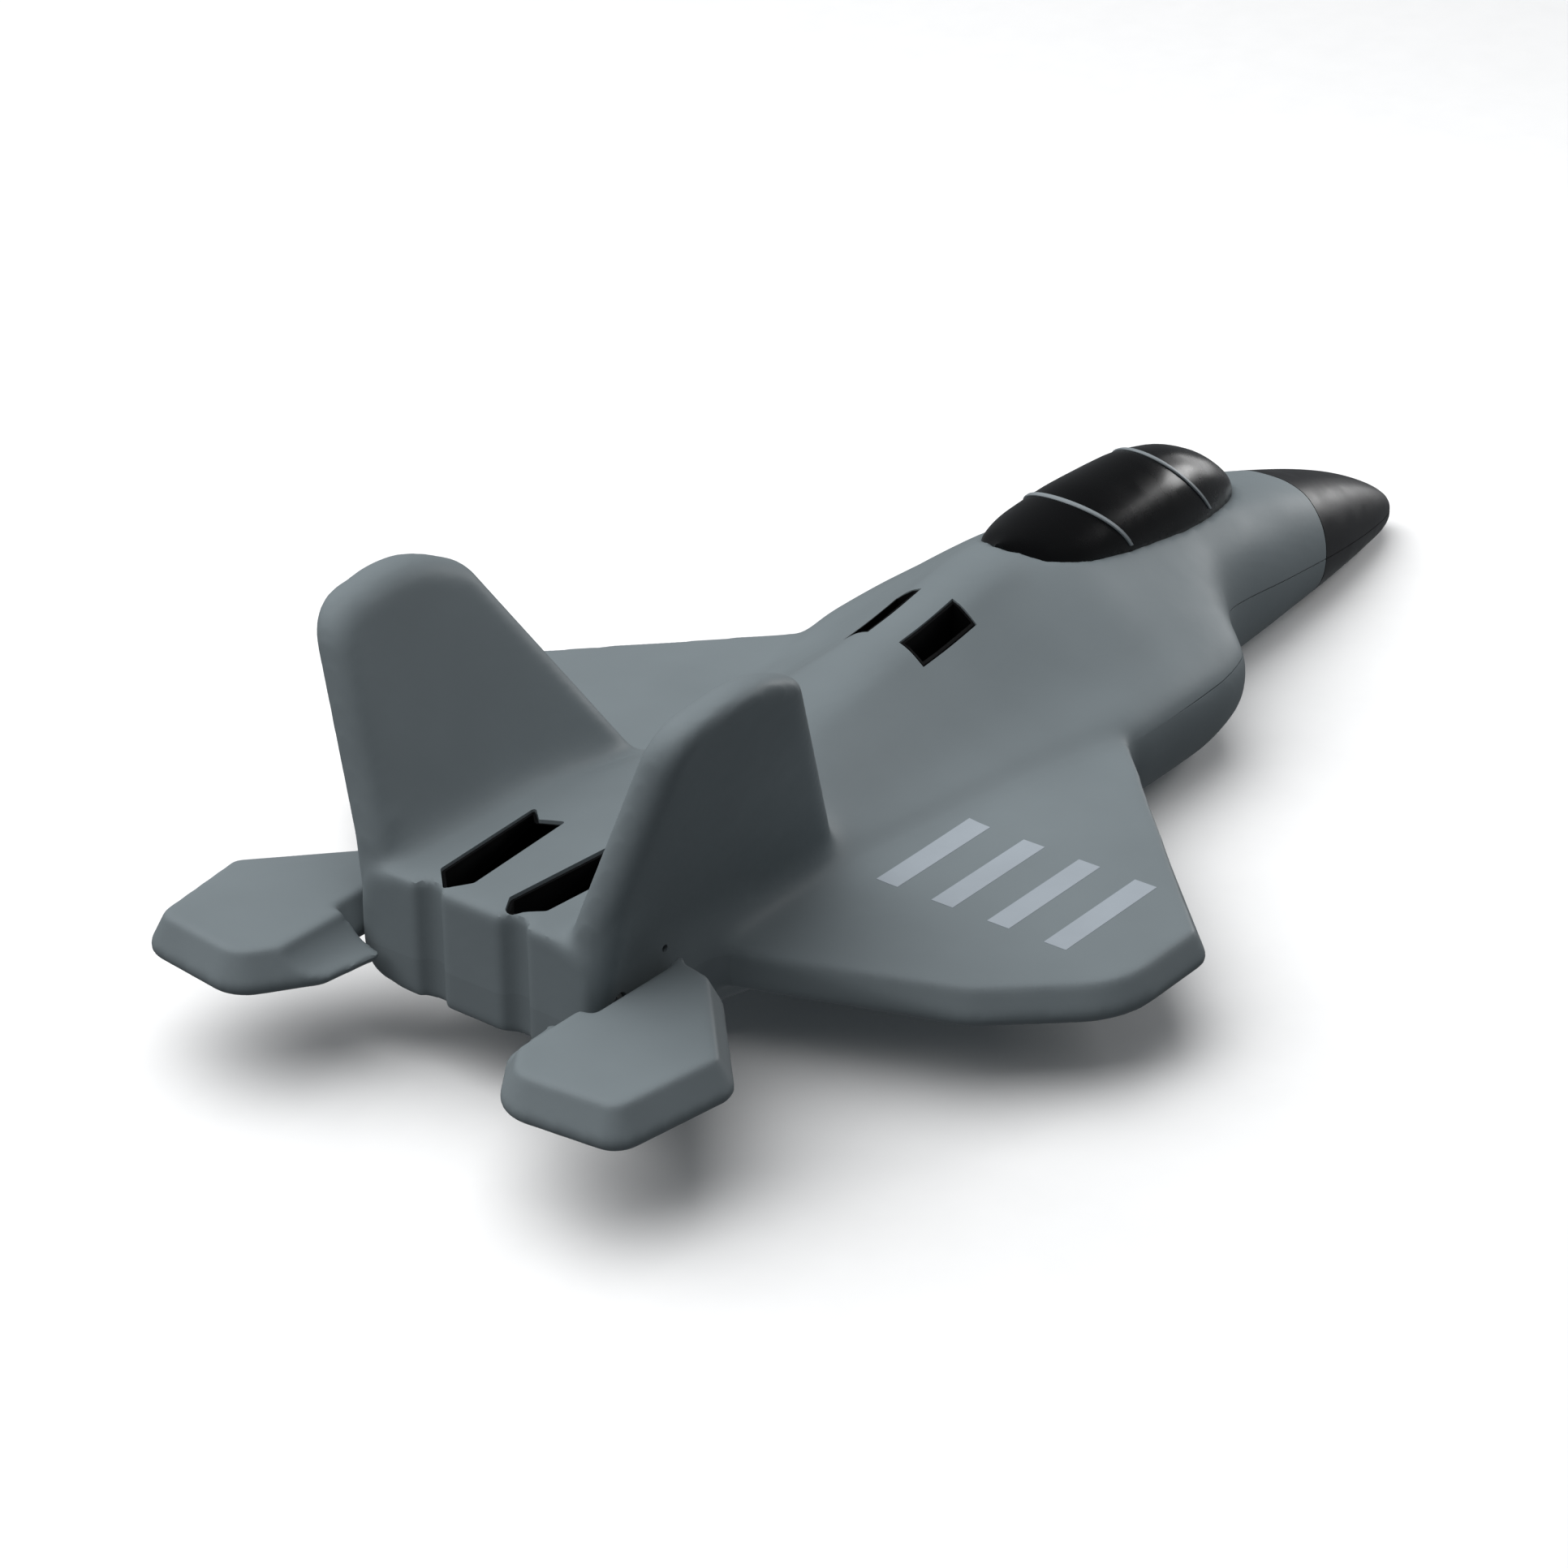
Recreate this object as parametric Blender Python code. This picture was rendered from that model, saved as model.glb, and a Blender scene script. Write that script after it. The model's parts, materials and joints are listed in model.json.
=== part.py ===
"""Small foam RC jet: two ducted fans, all-moving stabilators, lift-off canopy.

Stations (x) run forward from the tail in millimetres, y is to port, z is up from the
belly. spot() turns them into metres in the part's frame, whose origin is under the
middle of the aircraft at belly height: +X nose, +Y port wing, +Z up.
"""
import math

import bmesh
import bpy
import numpy as np
from mathutils import Vector

# ---------------------------------------------------------------- driving dimensions, mm
LENGTH = 350.0
GAP = 0.3                 # clearance between pieces that touch
WALL = 4.5                # foam wall around the inner bay
NOSE_JOINT = 297.5        # where the nose cone starts
TAIL_END = 30.0           # rear face of the fuselage
SEAM_Z = 23.0             # parting line of the two foam shells
SEAM_BREAK = 242.0        # ahead of this the parting line drops towards the nose
SEAM_NOSE_Z = 14.6        # height of the parting line at the nose cone

WING_TOP = 24.0
WING_THICK = 8.0
FOAM_ROUND = 3.0          # rounded edge of the foam plates
FIN_FOOT = (24.5, 36.0)   # y, z of the fin's mid plane at the deck
FIN_CANT = math.tan(math.radians(19.0))
FIN_THICK = 8.8

PIVOT_X, PIVOT_Z = 38.0, 25.0   # stabilator pivot
STAB_FACES = (21.0, 29.8)       # heights of the stabilator's lower and upper faces
ROD_RADIUS = 1.0
HORN_REACH = 8.0
LINK_Y = 22.4             # plane of the pushrods
HORN_Y = 20.9             # plane of the horns and servo arms
SERVO_X = 123.0           # servo output shaft

FAN_X, FAN_Y, FAN_Z = 104.0, 10.6, 23.5
FAN_BORE = 8.5            # radius inside the shroud
BLADES = 5
SPAR_X, SPAR_Z, SPAR_RADIUS = 143.0, 20.0, 1.5

SLOT_X = (34.6, 64.5)     # exhaust slots in the tail deck
SLOT_Y = (4.8, 14.0)
VENT_X = (154.5, 172.5)   # air inlets behind the canopy
VENT_Y = (3.9, 10.1)
GROOVE_Y, GROOVE_RADIUS = 10.4, 3.0    # upright grooves beside the nozzle block
HATCH_X = (206.0, 258.0)  # battery opening under the canopy
HATCH_HALF = 9.5

# Fuselage sections: station, then the half outline from the top centre to the belly as
# heights (z) and half widths (y): top, spine, flank, shoulder, side, chine, belly corner.
SECTIONS = (
    (30.0, (0, 12, 21, 26, 28, 26.5, 20), (39.8, 39.8, 39, 36, 27, 19, 15.4), 15.0),
    (63.0, (0, 12, 21, 26.5, 28.5, 27, 20), (39.8, 39.8, 38.6, 35, 25, 14, 8.5), 8.0),
    (100.0, (0, 8, 15, 23.5, 28.5, 27.5, 21), (41, 40.4, 37.8, 30.5, 24, 9, 2.2), 1.0),
    (130.0, (0, 7, 13, 23.5, 31.5, 29, 23), (43.4, 42.3, 38.4, 30, 24, 7.5, 0.5), -0.4),
    (160.0, (0, 6, 11.5, 24, 36, 34, 25), (46.8, 45.3, 41.2, 31.4, 24, 9, 0.5), -0.4),
    (190.0, (0, 6, 12.5, 29, 41.5, 39, 27), (51.2, 49.8, 45.2, 33.2, 24, 9, 0.6), -0.4),
    (203.0, (0, 6, 13, 30.5, 41.5, 39, 27), (49.4, 49, 46, 33.2, 23.5, 9, 0.6), -0.4),
    (216.0, (0, 6, 13, 30.2, 41, 38.6, 27), (47, 46.7, 44.6, 33, 23, 9, 0.6), -0.4),
    (229.0, (0, 6, 13, 27.5, 38.4, 36.5, 25), (44.8, 44.5, 42.6, 33.2, 22.5, 9.5, 1.0), 0.2),
    (240.0, (0, 6, 12.5, 22.5, 28.5, 27, 19), (43, 42.7, 40.8, 33, 22.5, 10, 2.4), 1.6),
    (250.0, (0, 6, 12, 18.8, 21.8, 20.8, 15), (41.2, 40.9, 39.1, 32, 22, 10.5, 3.6), 2.7),
    (280.0, (0, 6, 12, 16.8, 18.5, 17.2, 12), (35.4, 35, 32.6, 26, 17.5, 9.2, 3.9), 3.2),
    (303.5, (0, 5.5, 10.5, 14.3, 15.6, 14.2, 9.5), (28.9, 28.4, 26, 20.6, 14, 7.7, 3.7), 3.0),
    (325.0, (0, 4, 7.8, 10.6, 11.6, 10.6, 7.2), (21.4, 20.9, 19, 15, 10.8, 6.6, 3.7), 3.1),
    (340.0, (0, 2.4, 4.8, 6.6, 7.2, 6.6, 4.6), (13.8, 13.5, 12.5, 10.4, 7.8, 5.3, 3.6), 3.2),
    (350.0, (0, 0.3, 0.6, 0.8, 0.9, 0.8, 0.6), (6.6, 6.5, 6.4, 6.2, 6, 5.6, 5.4), 5.3),
)

# Canopy: station, half width at the sill, sill height, crown height.
CANOPY = (
    (194.0, 1.2, 50.0, 51.6),
    (200.0, 9.0, 47.0, 52.4),
    (212.0, 12.4, 45.6, 53.8),
    (225.0, 13.0, 44.2, 55.0),
    (240.0, 12.5, 42.6, 55.2),
    (252.0, 11.4, 41.0, 53.4),
    (264.0, 9.1, 38.8, 48.6),
    (273.0, 6.0, 37.0, 42.4),
    (279.0, 1.4, 35.5, 36.5),
)

MM = 0.001
COLOURS = {
    "foam_grey": ((0.175, 0.195, 0.215), 0.62, 0.0),
    "foam_belly": ((0.16, 0.18, 0.20), 0.62, 0.0),
    "gloss_black": ((0.004, 0.004, 0.005), 0.12, 0.0),
    "satin_black": ((0.012, 0.012, 0.013), 0.32, 0.0),
    "frame_grey": ((0.15, 0.165, 0.175), 0.4, 0.0),
    "black_plastic": ((0.006, 0.006, 0.007), 0.55, 0.0),
    "white_nylon": ((0.70, 0.70, 0.67), 0.45, 0.0),
    "steel": ((0.55, 0.56, 0.58), 0.3, 1.0),
    "aluminium": ((0.62, 0.63, 0.65), 0.35, 1.0),
    "carbon": ((0.015, 0.015, 0.016), 0.35, 0.0),
    "battery_wrap": ((0.05, 0.16, 0.35), 0.3, 0.0),
    "strap_fabric": ((0.02, 0.02, 0.022), 0.85, 0.0),
    "board_green": ((0.01, 0.12, 0.05), 0.4, 0.0),
    "plywood": ((0.55, 0.38, 0.20), 0.7, 0.0),
    "tape_white": ((0.75, 0.75, 0.72), 0.8, 0.0),
}


# ---------------------------------------------------------------- small tools
def spot(x, y, z):
    """A point given in stations (mm), in metres in the part's frame."""
    return ((x - LENGTH / 2) * MM, y * MM, z * MM)


def clear_scene():
    for item in list(bpy.data.objects):
        bpy.data.objects.remove(item, do_unlink=True)


def material(name):
    found = bpy.data.materials.get(name)
    if found:
        return found
    made = bpy.data.materials.new(name)
    made.use_nodes = True
    colour, rough, metal = COLOURS[name]
    shader = made.node_tree.nodes["Principled BSDF"]
    shader.inputs["Base Color"].default_value = (*colour, 1.0)
    shader.inputs["Roughness"].default_value = rough
    shader.inputs["Metallic"].default_value = metal
    made.diffuse_color = (*colour, 1.0)
    return made


def face_outwards(mesh):
    shape = bmesh.new()
    shape.from_mesh(mesh)
    bmesh.ops.recalc_face_normals(shape, faces=shape.faces)
    bent = [face for face in shape.faces if len(face.verts) == 4]
    bmesh.ops.triangulate(shape, faces=bent)
    shape.to_mesh(mesh)
    shape.free()


def mesh_object(name, points, faces, finish, origin=(0.0, 0.0, 0.0)):
    """A mesh from points in stations; origin is its object's origin in stations."""
    home = Vector(spot(*origin))
    mesh = bpy.data.meshes.new(name)
    mesh.from_pydata([tuple(Vector(spot(*p)) - home) for p in points], [], faces)
    face_outwards(mesh)
    mesh.materials.append(material(finish))
    mesh.shade_smooth()
    mesh.set_sharp_from_angle(angle=math.radians(32))
    made = bpy.data.objects.new(name, mesh)
    made.location = home
    bpy.context.scene.collection.objects.link(made)
    return made


def loft(name, rings, finish, origin=(0.0, 0.0, 0.0)):
    """A closed solid through rings of points."""
    count = len(rings[0])
    points = [p for ring in rings for p in ring]
    faces = [tuple(reversed(range(count)))]
    for r in range(len(rings) - 1):
        for i in range(count):
            j = (i + 1) % count
            a, b = r * count, (r + 1) * count
            faces.append((a + i, a + j, b + j, b + i))
    faces.append(tuple(range(len(points) - count, len(points))))
    return mesh_object(name, points, faces, finish, origin)


def box(name, low, high, finish="black_plastic", origin=None):
    (x0, y0, z0), (x1, y1, z1) = low, high
    rings = [[(x, y0, z0), (x, y1, z0), (x, y1, z1), (x, y0, z1)] for x in (x0, x1)]
    return loft(name, rings, finish, origin or (0.0, 0.0, 0.0))


def round_bar(name, start, end, radius, finish="steel", sides=20, origin=None):
    """A round bar between two points in stations."""
    a, b = Vector(start), Vector(end)
    along = (b - a).normalized()
    side = along.orthogonal().normalized()
    up = along.cross(side)
    turns = [2 * math.pi * i / sides for i in range(sides)]
    rings = []
    for centre in (a, b):
        rings.append([tuple(centre + radius * (math.cos(t) * side + math.sin(t) * up))
                      for t in turns])
    return loft(name, rings, finish, origin or (0.0, 0.0, 0.0))


def combine(target, tool, operation="DIFFERENCE"):
    """Cut tool from target, join it on, or keep what both share. The tool is hidden."""
    change = target.modifiers.new(tool.name, "BOOLEAN")
    change.operation = operation
    change.solver = "EXACT"
    change.object = tool
    tool.hide_render = True
    tool.display_type = "WIRE"
    return target


def cut(target, *tools):
    for tool in tools:
        combine(target, tool)
    return target


def join(target, *tools):
    for tool in tools:
        combine(target, tool, "UNION")
    return target


def curve_through(stations, values, x):
    """Smooth value at x between table rows, without overshoot."""
    xs, ys = np.asarray(stations, float), np.asarray(values, float)
    step, rise = np.diff(xs), np.diff(ys)
    slope = rise / step
    grade = np.zeros(len(xs))
    for i in range(1, len(xs) - 1):
        if slope[i - 1] * slope[i] > 0:
            wa, wb = 2 * step[i] + step[i - 1], step[i] + 2 * step[i - 1]
            grade[i] = (wa + wb) / (wa / slope[i - 1] + wb / slope[i])
    grade[0], grade[-1] = slope[0], slope[-1]
    k = int(np.clip(np.searchsorted(xs, x) - 1, 0, len(step) - 1))
    t = (x - xs[k]) / step[k]
    keep = (1 + 2 * t) * (1 - t) ** 2 * ys[k] + t * t * (3 - 2 * t) * ys[k + 1]
    lean = t * (1 - t) ** 2 * grade[k] - t * t * (1 - t) * grade[k + 1]
    return float(keep + lean * step[k])


def rounded(outline, radii, steps=4):
    """Outline in a plane with its corners turned into arcs."""
    done = []
    count = len(outline)
    for i, corner in enumerate(outline):
        here = Vector(corner)
        back = (Vector(outline[i - 1]) - here).normalized()
        ahead = (Vector(outline[(i + 1) % count]) - here).normalized()
        half = back.angle(ahead) / 2
        radius = radii[i]
        if radius <= 0:
            done.append(tuple(here))
            continue
        reach = radius / math.tan(half)
        centre = here + (back + ahead).normalized() * radius / math.sin(half)
        first, last = here + back * reach - centre, here + ahead * reach - centre
        for k in range(steps + 1):
            turn = first.lerp(last, k / steps).normalized() * radius
            done.append(tuple(centre + turn))
    return done


# ---------------------------------------------------------------- fuselage form
def half_section(x):
    """Half outline of the fuselage at a station: (y, z) from top centre to belly centre."""
    stations = [row[0] for row in SECTIONS]
    widths = [curve_through(stations, [row[1][k] for row in SECTIONS], x) for k in range(7)]
    heights = [curve_through(stations, [row[2][k] for row in SECTIONS], x) for k in range(7)]
    belly = curve_through(stations, [row[3] for row in SECTIONS], x)
    return list(zip(widths, heights)) + [(0.0, belly)]


def smooth_half(x, parts=2):
    """The half outline with rounded runs between its points."""
    knots = half_section(x)
    ghost = [(-knots[1][0], knots[1][1])] + knots + [(-knots[-2][0], knots[-2][1])]
    line = []
    for i in range(1, len(knots)):
        a, b, c, d = (Vector(p) for p in ghost[i - 1:i + 3])
        for k in range(parts):
            t = k / parts
            line.append(0.5 * (2 * b + (c - a) * t + (2 * a - 5 * b + 4 * c - d) * t ** 2
                               + (3 * b - a - 3 * c + d) * t ** 3))
    line.append(Vector(knots[-1]))
    return [(max(0.0, p[0]), p[1]) for p in line]


def section_ring(x, grow=0.0, wall=0.0):
    """Closed ring at a station, grown outwards or shrunk by a wall."""
    half = smooth_half(x)
    top, low = half[0][1], half[-1][1]
    middle, tall = (top + low) / 2, (top - low) / 2
    wide = max(p[0] for p in half)
    ky = (wide + grow - wall) / wide
    kz = (tall + grow - wall) / tall
    port = [(x, y * ky, middle + (z - middle) * kz) for y, z in half]
    return port + [(px, -py, pz) for px, py, pz in reversed(port[1:-1])]


def form(name, first, last, grow=0.0, wall=0.0, pitch=9.0, finish="foam_grey"):
    """Solid fuselage form between two stations."""
    count = max(2, round((last - first) / pitch) + 1)
    stations = np.linspace(first, last, count)
    rings = [section_ring(x, grow, wall) for x in stations]
    return loft(name, rings, finish)


def seam_block(name, above):
    """Everything above or below the parting line, less half the gap."""
    shift = -GAP / 2 if above else GAP / 2
    far = 100.0 if above else -40.0
    ahead = 330.0
    drop = (SEAM_NOSE_Z - SEAM_Z) / (NOSE_JOINT - SEAM_BREAK)
    line = [(-20.0, SEAM_Z), (SEAM_BREAK, SEAM_Z), (ahead, SEAM_Z + drop * (ahead - SEAM_BREAK))]
    rings = []
    for x, z in line:
        low, high = sorted((z + shift, far))
        rings.append([(x, -80, low), (x, 80, low), (x, 80, high), (x, -80, high)])
    return loft(name, rings, "foam_grey")


def sides():
    return (("left", 1), ("right", -1))


# ---------------------------------------------------------------- foam shells
def bay_cutters(tag):
    """The hollow bay through both shells, with its linkage channels and sockets."""
    tools = [form(f"bay_{tag}", 52.0, 283.0, wall=WALL, pitch=16.0)]
    for side, s in sides():
        y0, y1 = sorted((s * 19.3, s * 24.1))
        tools.append(box(f"channel_{side}_{tag}", (33.0, y0, 15.2), (131.0, y1, 28.5)))
        tools.append(round_bar(f"bush_hole_{side}_{tag}", (PIVOT_X, s * 18.0, PIVOT_Z),
                               (PIVOT_X, s * 36.0, PIVOT_Z), 2.2 + GAP))
        tools.append(round_bar(f"nozzle_groove_{side}_{tag}", (TAIL_END - 0.8, s * GROOVE_Y, -5),
                               (TAIL_END - 0.8, s * GROOVE_Y, 60), GROOVE_RADIUS, sides=20))
    tools.append(round_bar(f"spigot_socket_{tag}", (288.0, 0, 14.0), (302.0, 0, 14.0),
                           5.0 + GAP))
    return tools


def make_upper_shell():
    shell = form("fuselage_upper_shell", TAIL_END, NOSE_JOINT - GAP)
    cut(shell, seam_block("below_seam", above=False), *bay_cutters("up"))
    cut(shell, box("hatch_opening", (HATCH_X[0], -HATCH_HALF, 25), (HATCH_X[1], HATCH_HALF, 70)))
    for side, s in sides():
        y0, y1 = sorted((s * SLOT_Y[0], s * SLOT_Y[1]))
        cut(shell, box(f"slot_{side}", (SLOT_X[0], y0, 23.6), (SLOT_X[1], y1, 60)))
        y0, y1 = sorted((s * VENT_Y[0], s * VENT_Y[1]))
        cut(shell, box(f"vent_{side}", (VENT_X[0], y0, 33), (VENT_X[1], y1, 70)))
    cut(shell, round_bar("magnet_pocket", (262.5, 0, 34.9), (262.5, 0, 50), 2.0 + GAP))
    return shell


def make_lower_shell():
    shell = form("fuselage_lower_shell", TAIL_END, NOSE_JOINT - GAP, finish="foam_belly")
    cut(shell, seam_block("above_seam", above=True), *bay_cutters("low"))
    cut(shell, box("belly_plane", (50.0, -60.0, -20), (280.0, 60.0, 0)))
    cut(shell, box("switch_pocket", (160.0, -4.2, -5), (172.0, 4.2, 12)))
    for side, s in sides():
        cut(shell, round_bar(f"spar_hole_{side}", (SPAR_X, s * 15, SPAR_Z),
                             (SPAR_X, s * 60, SPAR_Z), SPAR_RADIUS + GAP))
    return shell


def make_nose_cone():
    stations = np.concatenate([np.linspace(NOSE_JOINT, 340.0, 6), [344.0, 347.0, 349.0, LENGTH]])
    rings = [section_ring(x) for x in stations]
    cone = loft("nose_cone", rings, "satin_black")
    return join(cone, round_bar("cone_spigot", (289.5, 0, 14.0), (300.0, 0, 14.0), 5.0))


# ---------------------------------------------------------------- wings, fins, stabilators
def plate(name, outline, low, high, finish="foam_grey", origin=(0.0, 0.0, 0.0)):
    """Flat foam plate from an outline in plan, with rounded edges."""
    count = len(outline)
    points = [(x, y, low) for x, y in outline] + [(x, y, high) for x, y in outline]
    faces = [tuple(reversed(range(count))), tuple(range(count, 2 * count))]
    faces += [(i, (i + 1) % count, (i + 1) % count + count, i + count) for i in range(count)]
    return round_edges(mesh_object(name, points, faces, finish, origin))


def round_edges(piece, radius=FOAM_ROUND, segments=3):
    bevel = piece.modifiers.new("rounded_edges", "BEVEL")
    bevel.width = radius * MM
    bevel.segments = segments
    bevel.limit_method = "ANGLE"
    bevel.angle_limit = math.radians(50)
    return piece


WING_OUTLINE = [(199.0, 25.0), (127.0, 97.0), (101.0, 97.0), (81.0, 75.0), (64.5, 25.0)]
WING_CORNERS = (0, 2.5, 20.0, 16.0, 0)
STAB_OUTLINE = [(54.5, 29.1), (52.4, 41.0), (29.8, 62.0), (2.8, 58.0), (0.0, 32.5),
                (14.5, 22.4), (28.0, 20.8), (28.0, 29.1)]
STAB_CORNERS = (1.0, 6.0, 5.0, 6.0, 5.0, 4.0, 0.8, 0)
FIN_OUTLINE = [(31.0, 25.0), (31.0, 42.0), (37.0, 84.6), (60.0, 87.6), (74.0, 81.0), (109.0, 25.0)]
FIN_CORNERS = (0, 30.0, 10.0, 30.0, 9.0, 0)


def make_wings():
    for side, s in sides():
        outline = [(x, s * y) for x, y in rounded(WING_OUTLINE, WING_CORNERS)]
        wing = plate(f"wing_{side}", outline, WING_TOP - WING_THICK, WING_TOP)
        cut(wing, form(f"wing_root_cut_{side}", 20.0 + TAIL_END, 240.0, grow=GAP))
        cut(wing, round_bar(f"wing_spar_hole_{side}", (SPAR_X, 0, SPAR_Z),
                            (SPAR_X, s * 72.4, SPAR_Z), SPAR_RADIUS + GAP))
    round_bar("wing_spar", (SPAR_X, -72, SPAR_Z), (SPAR_X, 72, SPAR_Z), SPAR_RADIUS, "carbon")


def make_fins():
    """Each fin is a plate in the x-z plane, leaned outwards as it rises."""
    foot_y, foot_z = FIN_FOOT
    outline = rounded(FIN_OUTLINE, FIN_CORNERS)
    count = len(outline)
    for side, s in sides():
        points = []
        for half in (-0.5, 0.5):
            for x, z in outline:
                lean = foot_y + (z - foot_z) * FIN_CANT
                points.append((x, s * lean + half * FIN_THICK, z))
        faces = [tuple(range(count)), tuple(reversed(range(count, 2 * count)))]
        faces += [(i + count, (i + 1) % count + count, (i + 1) % count, i) for i in range(count)]
        fin = round_edges(mesh_object(f"fin_{side}", points, faces, "foam_grey"))
        cut(fin, form(f"fin_foot_cut_{side}", TAIL_END - 5.0, 150.0, grow=GAP))
        cut(fin, plate_copy(f"fin_wing_cut_{side}", s))


def plate_copy(name, s):
    """The wing's own plate, grown by the gap, as a tool."""
    outline = [(x, s * y) for x, y in rounded(WING_OUTLINE, WING_CORNERS)]
    tool = plate(name, outline, WING_TOP - WING_THICK - GAP, WING_TOP + GAP)
    tool.modifiers.clear()
    return tool


def make_stabilators():
    for side, s in sides():
        pivot = (PIVOT_X, 0.0, PIVOT_Z)
        outline = [(x, s * y) for x, y in rounded(STAB_OUTLINE, STAB_CORNERS)]
        stab = plate(f"stabilator_{side}", outline, *STAB_FACES, origin=pivot)
        cut(stab, round_bar(f"stab_bore_{side}", (PIVOT_X, s * 20, PIVOT_Z),
                            (PIVOT_X, s * 50.5, PIVOT_Z), ROD_RADIUS + GAP))
        round_bar(f"pivot_rod_{side}", (PIVOT_X, s * 19.6, PIVOT_Z),
                  (PIVOT_X, s * 50.0, PIVOT_Z), ROD_RADIUS, origin=pivot)
        lever(f"control_horn_{side}", PIVOT_X, s, ROD_RADIUS + 0.05, 2.2)
        bush = round_bar(f"pivot_bush_{side}", (PIVOT_X, s * 24.0, PIVOT_Z),
                         (PIVOT_X, s * 27.4, PIVOT_Z), 2.2, "white_nylon")
        cut(bush, round_bar(f"bush_bore_{side}", (PIVOT_X, s * 20, PIVOT_Z),
                            (PIVOT_X, s * 32, PIVOT_Z), ROD_RADIUS + 0.1))


# ---------------------------------------------------------------- linkage
def lever(name, x, s, bore, boss):
    """A flat lever that hangs down from its shaft to the pushrod's pin."""
    y0, y1 = s * (HORN_Y - 0.5), s * (HORN_Y + 0.5)
    pin_z = PIVOT_Z - HORN_REACH
    home = (x, 0.0, PIVOT_Z)
    arm = round_bar(name, (x, y0, PIVOT_Z), (x, y1, PIVOT_Z), boss, "white_nylon", origin=home)
    low, high = sorted((y0, y1))
    join(arm, box(f"{name}_blade", (x - 1.2, low, pin_z), (x + 1.2, high, PIVOT_Z - 0.5)))
    join(arm, round_bar(f"{name}_eye", (x, y0, pin_z), (x, y1, pin_z), 1.5, sides=16))
    cut(arm, round_bar(f"{name}_pin_hole", (x, s * 18, pin_z), (x, s * 26, pin_z), 0.75))
    return cut(arm, round_bar(f"{name}_shaft_hole", (x, s * 18, PIVOT_Z),
                              (x, s * 26, PIVOT_Z), bore))


def make_pushrods():
    pin_z = PIVOT_Z - HORN_REACH
    for side, s in sides():
        home = (SERVO_X, 0.0, pin_z)
        rod = round_bar(f"pushrod_{side}", (PIVOT_X - 0.45, s * LINK_Y, pin_z),
                        (SERVO_X + 0.45, s * LINK_Y, pin_z), 0.6, sides=12, origin=home)
        for tag, x in (("rear", PIVOT_X), ("front", SERVO_X)):
            join(rod, round_bar(f"rod_pin_{tag}_{side}", (x, s * (HORN_Y - 1.0), pin_z),
                                (x, s * (LINK_Y + 0.1), pin_z), 0.42, sides=12))


def make_servos():
    for side, s in sides():
        y0, y1 = sorted((s * 3.5, s * 17.5))
        case = box(f"servo_{side}", (117.0, y0, 21.0), (137.0, y1, 29.0))
        e0, e1 = sorted((s * 12.5, s * 13.7))
        join(case, box(f"servo_ears_{side}", (114.4, e0, 21.3), (139.6, e1, 28.7)))
        join(case, round_bar(f"servo_boss_{side}", (SERVO_X, s * 17, PIVOT_Z),
                             (SERVO_X, s * 18.6, PIVOT_Z), 3.0))
        join(case, round_bar(f"servo_spline_{side}", (SERVO_X, s * 18, PIVOT_Z),
                             (SERVO_X, s * 21.0, PIVOT_Z), 1.0))
        lever(f"servo_arm_{side}", SERVO_X, s, 1.05, 2.4)
    tray = box("servo_tray", (113.0, -18.5, 19.2), (140.0, 18.5, 20.7), "plywood")
    for i, (x, y) in enumerate(((115, -16), (115, 16), (138, -16), (138, 16))):
        join(tray, box(f"tray_post_{i}", (x - 1.5, y - 1.5, 6.2), (x + 1.5, y + 1.5, 19.5)))


# ---------------------------------------------------------------- ducted fans
def make_shroud(side, s):
    y = s * FAN_Y
    shroud = round_bar(f"fan_shroud_{side}", (FAN_X - 8, y, FAN_Z), (FAN_X + 8, y, FAN_Z),
                       FAN_BORE + 0.8, "black_plastic", sides=40)
    cut(shroud, round_bar(f"shroud_bore_{side}", (FAN_X - 20, y, FAN_Z),
                          (FAN_X + 20, y, FAN_Z), FAN_BORE, sides=40))
    for k in range(3):
        turn = math.radians(90 + 120 * k)
        start = (FAN_X - 3, y + 3.6 * math.cos(turn), FAN_Z + 3.6 * math.sin(turn))
        end = (FAN_X - 3, y + 9.2 * math.cos(turn), FAN_Z + 9.2 * math.sin(turn))
        join(shroud, round_bar(f"stator_{side}_{k}", start, end, 0.7, sides=8))
    ring = round_bar(f"motor_ring_{side}", (FAN_X - 6.5, y, FAN_Z), (FAN_X + 1.5, y, FAN_Z),
                     4.4, sides=28)
    join(shroud, ring)
    return cut(shroud, round_bar(f"motor_seat_{side}", (FAN_X - 8, y, FAN_Z),
                                 (FAN_X + 2, y, FAN_Z), 3.5 + GAP, sides=28))


def blade(name, y, turn):
    """One pitched fan blade: a thin twisted loft from the hub to its tip."""
    rings = []
    for radius, pitch, chord in ((2.9, 55, 3.4), (5.4, 38, 4.2), (FAN_BORE - 0.5, 27, 3.8)):
        lean = math.radians(pitch)
        ring = []
        for along, thick in ((-0.5, -0.3), (0.5, -0.3), (0.5, 0.3), (-0.5, 0.3)):
            forward = along * chord * math.sin(lean) + thick * math.cos(lean)
            around = along * chord * math.cos(lean) - thick * math.sin(lean)
            ring.append((FAN_X + 5.6 + forward,
                         y + radius * math.cos(turn) - around * math.sin(turn),
                         FAN_Z + radius * math.sin(turn) + around * math.cos(turn)))
        rings.append(ring)
    return loft(name, rings, "black_plastic")


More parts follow.
